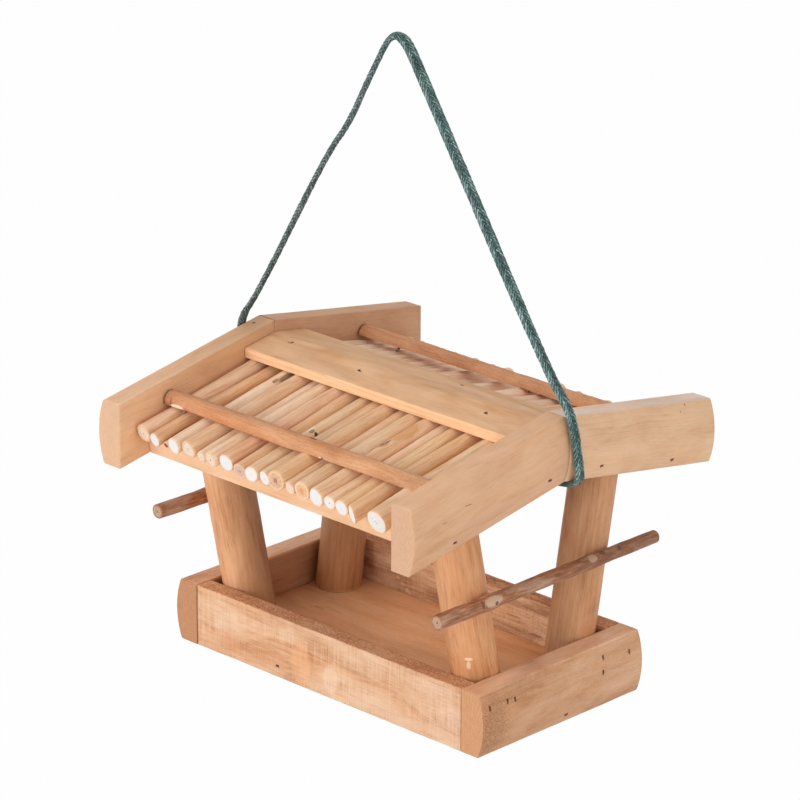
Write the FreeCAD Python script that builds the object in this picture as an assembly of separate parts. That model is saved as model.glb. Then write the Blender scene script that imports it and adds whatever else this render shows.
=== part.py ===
import FreeCAD, Part
import math
import os

# A hanging bird table: a nailed wooden tray, four leaning posts, a low roof of peeled sticks
# between half-round bargeboards, and one loop of cord that carries it all.
# Millimetres. X runs along the ridge, -Y is the front, +Z is up, and the origin is the middle
# of the tray's underside.

# Gaps between pieces
BOARD_GAP = 0.2             # open joint line between nailed boards
ROUND_GAP = 0.3             # round pieces beside their neighbours
SEAT_GAP = 0.1              # round pieces on what carries them

# Half-round slab, the stock of the end boards and the bargeboards
SLAB_WIDTH = 38.3
SLAB_EDGE = 13.6            # thickness along both edges
SLAB_CROWN = 17.5           # thickness in the middle
SLAB_ROUND = 3.0            # softened outer corners

# Tray
TRAY_CLEAR_LENGTH = 213.2   # between the end boards
TRAY_WIDTH = 131.9          # over the two long walls
WALL_THICKNESS = 11.6
FLOOR_THICKNESS = 12.8

# Bargeboards
GABLE_SPLAY = 1.3           # each gable stands out past the end board's inner face
ROOF_PITCH = 9.73           # degrees
RIDGE_HEIGHT = 185.0
ROOF_HALF_SPAN = 122.6      # ridge to the plumb-cut ends

# Rails that carry the sticks
STICK_PITCH = 12.0          # degrees, a little steeper than the bargeboards
RAIL_WIDTH = 20.0
RAIL_THICKNESS = 12.4
EAVE_REACH = 99.5           # ridge to the eave rails' outer lower corner
FRONT_RIDGE_RAIL = 14.0     # ridge to the middle of the front ridge rail
BACK_RIDGE_RAIL = 21.0

# Sticks: each one's diameter at the eave and the share of the spare width left before it,
# with the share left after the last one at the end. Left to right, seen from the front.
FRONT_STICKS = [
    (11.0, 10), (8.3, 9), (4.0, 9), (9.8, 10), (11.0, 11), (7.0, 6), (10.0, 10),
    (10.8, 5), (8.3, 3), (9.4, 25), (9.0, 3), (10.3, 3), (8.5, 7), (11.2, 5),
    (11.0, 7), (8.2, 4), (9.8, 3), (9.6, 8), (5.4, 4), (12.2, 9), (11.5, 11),
]
FRONT_LAST_SHARE = 32
BACK_STICKS = [
    (8.4, 4), (8.0, 8), (7.6, 7), (7.8, 5), (7.4, 6), (7.0, 6), (7.2, 5), (6.0, 4),
    (6.8, 6), (6.2, 7), (8.8, 8), (6.0, 16), (8.6, 96), (9.8, 148), (10.0, 15),
    (10.2, 13), (10.6, 20), (10.6, 24), (9.8, 20), (10.6, 19),
]
BACK_LAST_SHARE = 47
BACK_STICKS_PER_NODE = 2
STICK_TAPER = 0.9           # ridge end's diameter over the eave end's
STICK_OVERHANG = 7.0        # past the eave rail, along the slope
STICK_RAGGED = 0.9          # how far the ends stray from their line
BACK_REACH = [0, 0, 0, 0, 2, 4, 4, 5, 4, 5, 2, 2, -2, -6, -6, -6, -6, -6, -6, -6]    # added overhang
STICK_RIDGE_GAP = 3.0       # ridge line to the sticks' upper ends

# Ridge cap, one board with a ridged top and a hollowed back
CAP_HALF_WIDTH = 24.5
CAP_EDGE = 6.2              # height of its long edges
CAP_ROOM = 9.9              # under the cap, for the sticks' upper ends

# Battens, half-round rods laid flat side down across the sticks
BATTEN_RADIUS = 6.2
BATTEN_BELOW_CENTRE = 1.0   # the flat lies this far below the rod's centre
FRONT_BATTEN_UP = 22.2      # up the slope from the eave rails' outer face
BACK_BATTEN_UP = 32.0
BATTEN_END_GAP = 0.6

ROD_SIDES = 16              # facets round a peeled stick or a perch

# Posts: name, side along X, side along Y, diameter, lean in degrees
POSTS = [
    ("front_left_post", -1, -1, 28.8, 11.0),
    ("back_left_post", -1, 1, 27.6, 8.4),
    ("front_right_post", 1, -1, 27.8, 12.6),
    ("back_right_post", 1, 1, 27.6, 9.4),
]

# Perches: name, side along X, height, length, how far the middle lies behind the origin
PERCHES = [
    ("right_perch", 1, 86.4, 179.0, -1.0),
    ("left_perch", -1, 89.4, 179.0, -1.6),
]
PERCH_BUTT = 8.8            # diameter at the front end
PERCH_TIP = 7.8

# Brads, T-headed wire nails set below the surface
BRAD_LENGTH = 25.0
BATTEN_BRAD_LENGTH = 14.0
BRAD_WIDTH = 1.1
BRAD_DEPTH = 1.3
BRAD_HEAD_WIDTH = 2.3
BRAD_HEAD_HEIGHT = 0.9
BRAD_SET = 0.6              # head below the surface
BRAD_POCKET = 3.0           # how far its hole is open above the head
FRONT_POST_BRADS = [(-6.9, 29.2), (-1.0, 28.6)]    # aside from the post's axis, height
BACK_POST_BRADS = [(-4.2, 31.0), (-3.9, 22.6)]
FRONT_WALL_BRADS = [(1.2, 29.2)]    # aside from the wall's middle, height
BACK_WALL_BRADS = [(-4.0, 28.3)]
FLOOR_BRADS = [(4.4, 4.4)]
LONG_WALL_BRAD_X = -39.5
EAVE_BRAD_UP = 12.0
RAIL_BRAD_OUT = 4.0
FRONT_RIDGE_BRAD = -0.9     # up the slope from the ridge rail's middle
BACK_RIDGE_BRAD = -7.9
FRONT_CAP_BRADS = [(1, 1.9, 6.5), (8, -2.6, 10.9), (17, 3.2, 10.9)]    # stick, aside, from ridge
BACK_CAP_BRADS = [(13, 3.2, 14.5)]
FRONT_BATTEN_BRADS = [(1, -2.5, 50), (11, 2.3, 33), (19, -1.1, 36)]    # stick, aside, tilt to the ridge
BACK_BATTEN_BRADS = [(3, 0.6, -40), (13, 2.5, -40), (15, 0.8, -40)]

# Cord, one loop: up from both gables, and under the ridge to a knot
CORD_DIAMETER = 5.0
CORD_SKEW = 6.6             # how far it wraps behind the ridge at the right, before it at the left
CORD_WRAP_RADIUS = 7.3      # round the bargeboards' lower outer corners
CORD_HOOK_RADIUS = 11.0     # over the hook
HOOK_RISE = 205.0           # ridge to where the cord's two straight runs would meet
KNOT_LENGTH = 13.0
KNOT_RINGS = [(-1.0, 2.5), (-0.62, 4.9), (-0.2, 5.8), (0.3, 5.6), (0.68, 4.6), (1.0, 2.5)]
KNOT_SIDES = 12


V = FreeCAD.Vector
X_AXIS = V(1, 0, 0)
Y_AXIS = V(0, 1, 0)
Z_AXIS = V(0, 0, 1)
ORIGIN = V(0, 0, 0)
FAR = 400.0                 # longer than anything here, for cutting tools

ROOF_CLEAR_LENGTH = TRAY_CLEAR_LENGTH + 2 * GABLE_SPLAY     # between the bargeboards
SLOPE = math.tan(math.radians(ROOF_PITCH))
UP_SLOPE = V(0, math.cos(math.radians(STICK_PITCH)), math.sin(math.radians(STICK_PITCH)))
OUT_OF_SLOPE = V(0, -UP_SLOPE.z, UP_SLOPE.y)
TRAY_END = TRAY_CLEAR_LENGTH / 2
ROOF_END = ROOF_CLEAR_LENGTH / 2
WALL_INSIDE = TRAY_WIDTH / 2 - WALL_THICKNESS
WALL_HEIGHT = SLAB_WIDTH
STICK_SEAT = RAIL_THICKNESS + SEAT_GAP


def board_bottom(distance):
    """Height of the bargeboards' lower edge at a distance from the ridge line."""
    drop = SLAB_WIDTH / math.cos(math.radians(ROOF_PITCH))
    return RIDGE_HEIGHT - drop - distance * SLOPE


EAVE_CORNER = V(0, -EAVE_REACH, board_bottom(EAVE_REACH))


def on_panel(up, out, x=0.0):
    """Point of the front roof panel, up its slope and out from it, from the eave corner."""
    return EAVE_CORNER + UP_SLOPE * up + OUT_OF_SLOPE * out + V(x, 0, 0)


def panel_up(distance, out):
    """How far up the slope a point of the panel lies at a distance from the ridge line."""
    return (EAVE_REACH - distance + out * UP_SLOPE.z) / UP_SLOPE.y


def panel_height(distance, out):
    """Height of the panel's plane at a distance from the ridge line."""
    return on_panel(panel_up(distance, out), out).z


def prism(points, direction):
    """Solid over a closed outline."""
    return Part.Face(Part.makePolygon(points + points[:1])).extrude(direction)


def block(low, high):
    return Part.makeBox(high.x - low.x, high.y - low.y, high.z - low.z, low)


def to_back(shape):
    return shape.mirror(ORIGIN, Y_AXIS)


def to_left(shape):
    return shape.mirror(ORIGIN, X_AXIS)


# Faceted rods

def ring(centre, radius, across, up, sides):
    """Corners of a many-sided ring."""
    turns = [2 * math.pi * side / sides for side in range(sides)]
    return [centre + (across * math.cos(turn) + up * math.sin(turn)) * radius for turn in turns]


def faceted(stations, sides):
    """Solid of narrow flat facets through rings, each given as its centre and radius."""
    axis = (stations[-1][0] - stations[0][0]).normalize()
    up = axis.cross(X_AXIS if abs(axis.x) < 0.5 else Y_AXIS).normalize()
    across = up.cross(axis)
    rings = [ring(centre, radius, across, up, sides) for centre, radius in stations]
    faces = [Part.Face(Part.makePolygon(end + end[:1])) for end in (rings[0], rings[-1])]
    for first, last in zip(rings, rings[1:]):
        for side in range(sides):
            following = (side + 1) % sides
            corners = [first[side], first[following], last[following], last[side], first[side]]
            faces.append(Part.Face(Part.makePolygon(corners)))
    return Part.Solid(Part.Shell(faces))


# Half-round slab

def slab_thickness(height):
    """Thickness of the slab at a height above its lower edge."""
    rise = SLAB_CROWN - SLAB_EDGE
    half = SLAB_WIDTH / 2
    radius = (half ** 2 + rise ** 2) / (2 * rise)
    return SLAB_CROWN - radius + math.sqrt(radius ** 2 - (height - half) ** 2)


def slab(length):
    """Slab along Y from the origin, its flat face at X = 0 and its lower edge at Z = 0."""
    corners = [V(0, 0, 0), V(SLAB_EDGE, 0, 0), V(SLAB_EDGE, 0, SLAB_WIDTH), V(0, 0, SLAB_WIDTH)]
    crown = Part.Arc(corners[1], V(SLAB_CROWN, 0, SLAB_WIDTH / 2), corners[2]).toShape()
    sides = [
        Part.LineSegment(corners[0], corners[1]).toShape(),
        crown,
        Part.LineSegment(corners[2], corners[3]).toShape(),
        Part.LineSegment(corners[3], corners[0]).toShape(),
    ]
    solid = Part.Face(Part.Wire(sides)).extrude(V(0, length, 0))
    outer = [edge for edge in solid.Edges if is_outer_corner(edge, length)]
    return solid.makeFillet(min(SLAB_ROUND, SLAB_EDGE / 2), outer)


def is_outer_corner(edge, length):
    box = edge.BoundBox
    return abs(box.XMin - SLAB_EDGE) < 1e-6 and box.XLength < 1e-6 and abs(box.YLength - length) < 1e-6


# Tray

def floor_panel():
    half_length = TRAY_END - BOARD_GAP
    half_width = WALL_INSIDE - BOARD_GAP
    return block(V(-half_length, -half_width, 0), V(half_length, half_width, FLOOR_THICKNESS))


def front_wall():
    half_length = TRAY_END - BOARD_GAP
    return block(V(-half_length, -TRAY_WIDTH / 2, 0), V(half_length, -WALL_INSIDE, WALL_HEIGHT))


def right_end_board():
    board = slab(TRAY_WIDTH)
    board.translate(V(TRAY_END, -TRAY_WIDTH / 2, 0))
    return board


# Bargeboards

def front_right_bargeboard():
    """Slab on the roof's slope, mitred at the ridge and plumb-cut at the eave."""
    overlong = ROOF_HALF_SPAN + SLAB_WIDTH
    board = slab(2 * overlong)
    board.translate(V(ROOF_END, -overlong, -SLAB_WIDTH))
    board.rotate(ORIGIN, X_AXIS, ROOF_PITCH)
    board.translate(V(0, 0, RIDGE_HEIGHT))
    keep = block(V(0, -ROOF_HALF_SPAN, 0), V(FAR, -BOARD_GAP / 2, FAR))
    return board.common(keep)


# Roof panels

def rail(up_start):
    """Rail between the bargeboards, its lower face in the panel's base plane."""
    ends = ROOF_END - BOARD_GAP
    outline = [
        on_panel(up_start, 0, -ends),
        on_panel(up_start + RAIL_WIDTH, 0, -ends),
        on_panel(up_start + RAIL_WIDTH, RAIL_THICKNESS, -ends),
        on_panel(up_start, RAIL_THICKNESS, -ends),
    ]
    return prism(outline, V(2 * ends, 0, 0))


def ridge_rail_middle(distance):
    return panel_up(distance, RAIL_THICKNESS / 2)


STICK_START = -STICK_OVERHANG
STICK_END = panel_up(STICK_RIDGE_GAP, STICK_SEAT)


def ridge_diameter(diameter):
    """Sticks taper, and the thickest taper more, to pass under the cap's long edge."""
    cap_share = (panel_up(CAP_HALF_WIDTH, STICK_SEAT) - STICK_START) / (STICK_END - STICK_START)
    thinned = diameter - (diameter - CAP_ROOM + SEAT_GAP) / cap_share
    return min(diameter * STICK_TAPER, thinned)


def diameter_at(diameter, up):
    share = (up - STICK_START) / (STICK_END - STICK_START)
    return diameter + (ridge_diameter(diameter) - diameter) * share


def stick_places(sticks, last_share):
    """Middle of each stick along X, from the clear width and the spare shares."""
    spare = ROOF_CLEAR_LENGTH - sum(diameter for diameter, share in sticks)
    shares = last_share + sum(share for diameter, share in sticks)
    places = []
    edge = -ROOF_END
    for diameter, share in sticks:
        edge += spare * share / shares
        places.append(edge + diameter / 2)
        edge += diameter
    return places


def stick(index, x, diameter, reach):
    """Tapered stick lying on the rails' upper faces, its ends cut square."""
    start = STICK_START - reach - STICK_RAGGED * math.sin(2.4 * index)
    butt = diameter_at(diameter, start) / 2
    tip = ridge_diameter(diameter) / 2
    low = on_panel(start, STICK_SEAT + butt, x)
    high = on_panel(STICK_END, STICK_SEAT + tip, x)
    return faceted([(low, butt), (high, tip)], ROD_SIDES)


def roof_sticks(sticks, last_share, reaches):
    places = stick_places(sticks, last_share)
    return [stick(index, x, sticks[index][0], reaches[index]) for index, x in enumerate(places)]


def batten_seat(sticks, up):
    """The batten lies on the thickest stick under it."""
    return STICK_SEAT + SEAT_GAP + max(diameter_at(diameter, up) for diameter, share in sticks)


def batten(sticks, up):
    """Half-round rod, flat side down."""
    ends = ROOF_END - BATTEN_END_GAP
    seat = batten_seat(sticks, up)
    centre = on_panel(up, seat + BATTEN_BELOW_CENTRE, -ends)
    half_flat = math.sqrt(BATTEN_RADIUS ** 2 - BATTEN_BELOW_CENTRE ** 2)
    lower = centre - UP_SLOPE * half_flat - OUT_OF_SLOPE * BATTEN_BELOW_CENTRE
    upper = centre + UP_SLOPE * half_flat - OUT_OF_SLOPE * BATTEN_BELOW_CENTRE
    top = centre + OUT_OF_SLOPE * BATTEN_RADIUS
    outline = Part.Wire([Part.Arc(lower, top, upper).toShape(), Part.LineSegment(upper, lower).toShape()])
    return Part.Face(outline).extrude(V(2 * ends, 0, 0))


CAP_UNDER = STICK_SEAT + CAP_ROOM


def ridge_cap():
    ends = ROOF_END - BOARD_GAP
    edge_low = panel_height(CAP_HALF_WIDTH, CAP_UNDER)
    edge_top = edge_low + CAP_EDGE
    outline = [
        V(-ends, -CAP_HALF_WIDTH, edge_low),
        V(-ends, 0, panel_height(0, CAP_UNDER)),
        V(-ends, CAP_HALF_WIDTH, edge_low),
        V(-ends, CAP_HALF_WIDTH, edge_top),
        V(-ends, 0, edge_top + CAP_HALF_WIDTH * SLOPE),
        V(-ends, -CAP_HALF_WIDTH, edge_top),
    ]
    return prism(outline, V(2 * ends, 0, 0))


def cap_top(y):
    return panel_height(CAP_HALF_WIDTH, CAP_UNDER) + CAP_EDGE + (CAP_HALF_WIDTH - abs(y)) * SLOPE


# Posts and perches

def post_axis(side_x, side_y, diameter, lean):
    """A point on the post's axis level with the tray's rim, and the axis' direction.

    The post leans out over the long wall's inner edge, and stands beside the end board and
    the bargeboard.
    """
    radius = diameter / 2
    tilt = math.tan(math.radians(lean))
    rim_y = WALL_INSIDE - (radius + ROUND_GAP) / math.cos(math.radians(lean))
    rim_x = TRAY_END - radius - ROUND_GAP
    head_y = rim_y + (RIDGE_HEIGHT - SLAB_WIDTH - WALL_HEIGHT) * tilt
    head_height = panel_height(head_y, 0) - WALL_HEIGHT
    splay = (ROOF_END - TRAY_END) / head_height
    return V(side_x * rim_x, side_y * rim_y, WALL_HEIGHT), V(side_x * splay, side_y * tilt, 1)


def post_at(post, height):
    """Middle of a post at a height."""
    name, side_x, side_y, diameter, lean = post
    rim, direction = post_axis(side_x, side_y, diameter, lean)
    return rim + direction * (height - rim.z)


def post(spec):
    """Round post, its foot flat on the floor and its head cut to the sticks' underside."""
    name, side_x, side_y, diameter, lean = spec
    low = post_at(spec, 0)
    high = post_at(spec, RIDGE_HEIGHT)
    rod = Part.makeCylinder(diameter / 2, (high - low).Length, low, high - low)
    head = [
        on_panel(-FAR, RAIL_THICKNESS - ROUND_GAP, -FAR),
        on_panel(FAR, RAIL_THICKNESS - ROUND_GAP, -FAR),
        V(-FAR, FAR, -FAR),
        V(-FAR, -FAR, -FAR),
    ]
    under_roof = prism(head, V(2 * FAR, 0, 0))
    if side_y > 0:
        under_roof = to_back(under_roof)
    above_floor = block(V(-FAR, -FAR, FLOOR_THICKNESS), V(FAR, FAR, FAR))
    return rod.common(under_roof).common(above_floor)


def perch_x(height):
    """Middle of a perch that lies against the outer sides of the posts."""
    outermost = max(abs(post_at(spec, height).x) + spec[3] / 2 for spec in POSTS)
    return outermost + ROUND_GAP + PERCH_BUTT / 2


def perch(side_x, height, length, middle):
    front = V(side_x * perch_x(height), middle - length / 2, height)
    return faceted([(front, PERCH_BUTT / 2), (front + Y_AXIS * length, PERCH_TIP / 2)], ROD_SIDES)


# Brads

def brad_outline(above):
    """T outline in the XZ plane, the head's top at Z = above and the tip below."""
    return [
        V(-BRAD_HEAD_WIDTH / 2, 0, above),
        V(-BRAD_HEAD_WIDTH / 2, 0, -BRAD_HEAD_HEIGHT),
        V(-BRAD_WIDTH / 2, 0, -BRAD_HEAD_HEIGHT),
        V(BRAD_WIDTH / 2, 0, -BRAD_HEAD_HEIGHT),
        V(BRAD_HEAD_WIDTH / 2, 0, -BRAD_HEAD_HEIGHT),
        V(BRAD_HEAD_WIDTH / 2, 0, above),
    ]


def brad(surface, outward, wide, length, above=0.0):
    """Brad driven in at a point of a surface, or with above set, the hole that takes it."""
    head = brad_outline(above)
    shank = [V(BRAD_WIDTH / 2, 0, -length), V(-BRAD_WIDTH / 2, 0, -length)]
    outline = head[:3] + [shank[1], shank[0]] + head[3:]
    solid = prism(outline, V(0, BRAD_DEPTH, 0))
    solid.translate(V(0, -BRAD_DEPTH / 2, 0))
    across = outward.cross(wide)
    turn = FreeCAD.Rotation(wide, across, outward, "ZXY")
    solid.Placement = FreeCAD.Placement(surface - outward * BRAD_SET, turn)
    return solid


def end_board_brads():
    """Brads through the right end board: walls, posts and floor."""
    wall_middle = WALL_INSIDE + WALL_THICKNESS / 2
    upright = [(-wall_middle + aside, z) for aside, z in FRONT_WALL_BRADS]
    upright += [(wall_middle + aside, z) for aside, z in BACK_WALL_BRADS]
    for spec in POSTS:
        name, side_x, side_y, diameter, lean = spec
        if side_x > 0:
            brads = FRONT_POST_BRADS if side_y < 0 else BACK_POST_BRADS
            upright += [(post_at(spec, z).y + aside, z) for aside, z in brads]
    places = [(y, z, Z_AXIS) for y, z in upright] + [(y, z, Y_AXIS) for y, z in FLOOR_BRADS]
    return [(V(TRAY_END + slab_thickness(z), y, z), X_AXIS, wide) for y, z, wide in places]


def gable_brads():
    """Brads through the right bargeboards into the ends of the rails."""
    front_ridge = ridge_rail_middle(FRONT_RIDGE_RAIL) + FRONT_RIDGE_BRAD
    back_ridge = ridge_rail_middle(BACK_RIDGE_RAIL) + BACK_RIDGE_BRAD
    places = []
    for side_y, up in ((-1, EAVE_BRAD_UP), (-1, front_ridge), (1, EAVE_BRAD_UP), (1, back_ridge)):
        place = on_panel(up, RAIL_BRAD_OUT)
        height = (place.z - board_bottom(-place.y)) * math.cos(math.radians(ROOF_PITCH))
        places.append((V(ROOF_END + slab_thickness(height), -side_y * place.y, place.z), X_AXIS, Y_AXIS))
    return places


def perch_brads():
    """Brads through each perch into the posts that it lies on."""
    places = []
    for name, side_x, height, length, middle in PERCHES:
        for spec in POSTS:
            if spec[1] != side_x:
                continue
            y = post_at(spec, height).y
            share = (y - middle) / length + 0.5
            radius = (PERCH_BUTT + (PERCH_TIP - PERCH_BUTT) * share) / 2
            surface = V(side_x * (perch_x(height) + radius), y, height)
            places.append((surface, X_AXIS * side_x, Y_AXIS))
    return places


def cap_brads():
    """Brads through the ridge cap into a stick and the rail under it."""
    places = []
    for side_y, middles, brads in (
            (-1, stick_places(FRONT_STICKS, FRONT_LAST_SHARE), FRONT_CAP_BRADS),
            (1, stick_places(BACK_STICKS, BACK_LAST_SHARE), BACK_CAP_BRADS)):
        for index, aside, distance in brads:
            surface = V(middles[index] + aside, side_y * distance, cap_top(distance))
            places.append((surface, Z_AXIS, X_AXIS))
    return places


def mirrored(places, axis):
    """The same brads on the other side."""
    turned = []
    for surface, outward, wide in places:
        flip = V(1 - 2 * axis.x, 1 - 2 * axis.y, 1)
        other = V(surface.x * flip.x, surface.y * flip.y, surface.z)
        turned.append((other, V(outward.x * flip.x, outward.y * flip.y, outward.z), wide))
    return turned


def long_brads():
    """Every brad of the full length."""
    right = end_board_brads() + gable_brads()
    front_wall_brad = [(V(LONG_WALL_BRAD_X, -TRAY_WIDTH / 2, FLOOR_THICKNESS / 2), Y_AXIS * -1, X_AXIS)]
    walls = front_wall_brad + mirrored(front_wall_brad, Y_AXIS)
    return right + mirrored(right, X_AXIS) + walls + cap_brads() + perch_brads()


def batten_brads():
    """Short brads through the battens into the sticks."""
    places = []
    for side_y, sticks, last, up, chosen in (
            (-1, FRONT_STICKS, FRONT_LAST_SHARE, FRONT_BATTEN_UP, FRONT_BATTEN_BRADS),
            (1, BACK_STICKS, BACK_LAST_SHARE, BACK_BATTEN_UP, BACK_BATTEN_BRADS)):
        middles = stick_places(sticks, last)
        centre = batten_seat(sticks, up) + BATTEN_BELOW_CENTRE
        for index, aside, tilt in chosen:
            tilt = math.radians(tilt)
            outward = UP_SLOPE * math.sin(tilt) + OUT_OF_SLOPE * math.cos(tilt)
            place = on_panel(up, centre, middles[index] + aside) + outward * BATTEN_RADIUS
            surface = V(place.x, -side_y * place.y, place.z)
            places.append((surface, V(0, -side_y * outward.y, outward.z), X_AXIS))
    return places


# Cord

CORD_OUT = ROOF_END + SLAB_CROWN + ROUND_GAP + CORD_DIAMETER / 2    # beside the bargeboards
CORD_WRAP_HEIGHT = board_bottom(CORD_SKEW) - ROUND_GAP - CORD_DIAMETER / 2
CORD_AXIS = V(CORD_OUT, CORD_SKEW, 0)
CORD_TURN = V(ROOF_END, CORD_SKEW * ROOF_END / CORD_OUT, CORD_WRAP_HEIGHT)  # where the loop goes in


def cord_route():
    """Route of the outer loop, from the right gable's inner face over the hook to the left's.

    The middle points are chosen by hand; each has the radius of what the cord bends round, or
    none where it bends freely.
    """
    under_right = CORD_TURN
    under_left = V(-CORD_TURN.x, -CORD_TURN.y, CORD_TURN.z)
    return [
        (under_right, None),
        (V(CORD_OUT, CORD_SKEW, CORD_WRAP_HEIGHT), CORD_WRAP_RADIUS),
        (V(CORD_OUT + 0.2, 8.6, RIDGE_HEIGHT - 23.0), None),
        (V(CORD_OUT + 0.6, -0.2, RIDGE_HEIGHT - 1.0), None),
        (V(CORD_OUT - 16.4, -0.6, RIDGE_HEIGHT + 17.5), None),
        (V(0.5, -8.5, RIDGE_HEIGHT + HOOK_RISE), CORD_HOOK_RADIUS),
        (V(18.6 - CORD_OUT, -13.2, RIDGE_HEIGHT + 18.0), None),
        (V(-CORD_OUT - 0.9, -13.8, RIDGE_HEIGHT - 0.5), None),
        (V(-CORD_OUT, -CORD_SKEW, CORD_WRAP_HEIGHT), CORD_WRAP_RADIUS),
        (under_left, None),
    ]


def rounded_path(route):
    """Straight runs joined by tangent arcs."""
    points = [point for point, radius in route]
    edges = []
    start = points[0]
    for before, (corner, given), after in zip(points, route[1:], points[2:]):
        back = before - corner
        ahead = after - corner
        half_turn = (math.pi - back.getAngle(ahead)) / 2
        free = 0.45 * min(back.Length, ahead.Length) / math.tan(half_turn)
        radius = given or free
        print("cord arc radius", round(radius, 1), "turn", round(math.degrees(2 * half_turn), 1))
        reach = radius * math.tan(half_turn)
        first = corner + back.normalize() * reach
        last = corner + ahead.normalize() * reach
        inward = (back + ahead).normalize()
        middle = corner + inward * (radius / math.cos(half_turn) - radius)
        edges.append(Part.LineSegment(start, first).toShape())
        edges.append(Part.Arc(first, middle, last).toShape())
        start = last
    edges.append(Part.LineSegment(start, points[-1]).toShape())
    return Part.Wire(edges)


def hanging_cord():
    route = cord_route()
    path = rounded_path(route)
    heading = route[1][0] - route[0][0]
    section = Part.Wire(Part.Circle(route[0][0], heading, CORD_DIAMETER / 2).toShape())
    tube = path.makePipeShell([section], True, False)
    expected = math.pi * CORD_DIAMETER ** 2 / 4 * path.Length
    print("cord length", round(path.Length, 1), "volume over section x length",
          round(tube.Volume / expected, 4))
    return tube


def cord_under_roof():
    """The stretch under the ridge, on both sides of the knot."""
    heading = V(CORD_AXIS).normalize()
    end = CORD_AXIS.Length * ROOF_END / CORD_OUT
    middle = V(0, 0, CORD_WRAP_HEIGHT)
    length = end - KNOT_LENGTH / 2
    right = Part.makeCylinder(CORD_DIAMETER / 2, length, middle + heading * (KNOT_LENGTH / 2), heading)
    left = Part.makeCylinder(CORD_DIAMETER / 2, length, middle - heading * (KNOT_LENGTH / 2), heading * -1)
    return [right, left]


def cord_knot():
    """Drawn-up knot, its flat ends on the cord's two ends."""
    heading = V(CORD_AXIS).normalize()
    middle = V(0, 0, CORD_WRAP_HEIGHT)
    stations = []
    for along, radius in KNOT_RINGS:
        stations.append((middle + heading * (along * KNOT_LENGTH / 2), radius))
    return faceted(stations, KNOT_SIDES)


# Assembly

def wooden_nodes():
    """Every wooden piece by its node's name."""
    nodes = {"floor_panel": [floor_panel()]}
    nodes["front_wall"] = [front_wall()]
    nodes["back_wall"] = [to_back(front_wall())]
    nodes["right_end_board"] = [right_end_board()]
    nodes["left_end_board"] = [to_left(right_end_board())]
    for spec in POSTS:
        nodes[spec[0]] = [post(spec)]
    for name, side_x, height, length, middle in PERCHES:
        nodes[name] = [perch(side_x, height, length, middle)]
    board = front_right_bargeboard()
    nodes["front_right_bargeboard"] = [board]
    nodes["back_right_bargeboard"] = [to_back(board)]
    nodes["front_left_bargeboard"] = [to_left(board)]
    nodes["back_left_bargeboard"] = [to_left(to_back(board))]
    nodes["front_eave_rail"] = [rail(0)]
    nodes["back_eave_rail"] = [to_back(rail(0))]
    nodes["front_ridge_rail"] = [rail(ridge_rail_middle(FRONT_RIDGE_RAIL) - RAIL_WIDTH / 2)]
    nodes["back_ridge_rail"] = [to_back(rail(ridge_rail_middle(BACK_RIDGE_RAIL) - RAIL_WIDTH / 2))]
    nodes["ridge_cap"] = [ridge_cap()]
    nodes["front_batten"] = [batten(FRONT_STICKS, FRONT_BATTEN_UP)]
    nodes["back_batten"] = [to_back(batten(BACK_STICKS, BACK_BATTEN_UP))]
    for index, solid in enumerate(roof_sticks(FRONT_STICKS, FRONT_LAST_SHARE, [0] * len(FRONT_STICKS))):
        nodes["front_stick_%02d" % (index + 1)] = [solid]
    for index, solid in enumerate(roof_sticks(BACK_STICKS, BACK_LAST_SHARE, BACK_REACH)):
        name = "back_sticks_%02d" % (index // BACK_STICKS_PER_NODE + 1)
        nodes.setdefault(name, []).append(to_back(solid))
    return nodes


def drilled(solid, holes):
    """The piece with the holes of the brads that reach it."""
    for hole in holes:
        if solid.BoundBox.intersect(hole.BoundBox):
            solid = solid.cut(hole)
    return solid


def build():
    nodes = wooden_nodes()
    driven = [(place, BRAD_LENGTH) for place in long_brads()]
    driven_short = [(place, BATTEN_BRAD_LENGTH) for place in batten_brads()]
    holes = [brad(*place, length, BRAD_POCKET) for place, length in driven + driven_short]
    for name, solids in nodes.items():
        nodes[name] = [drilled(solid, holes) for solid in solids]
    nodes["brad_nails"] = [brad(*place, length) for place, length in driven]
    nodes["batten_brads"] = [brad(*place, length) for place, length in driven_short]
    nodes["hanging_cord"] = [hanging_cord()]
    nodes["cord_under_roof"] = cord_under_roof()
    nodes["cord_knot"] = [cord_knot()]
    return nodes


def export(nodes):
    os.makedirs("parts", exist_ok=True)
    for name, solids in nodes.items():
        pieces = [solid for shape in solids for solid in shape.Solids]
        shape = pieces[0] if len(pieces) == 1 else Part.makeCompound(pieces)
        shape.exportStep("parts/%s.step" % name)
        print(name, len(pieces), "solids, valid" if shape.isValid() else "solids, NOT VALID")


export(build())
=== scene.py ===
import math
import zlib

import bpy
import numpy as np
from mathutils import Matrix, Vector, noise

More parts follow.
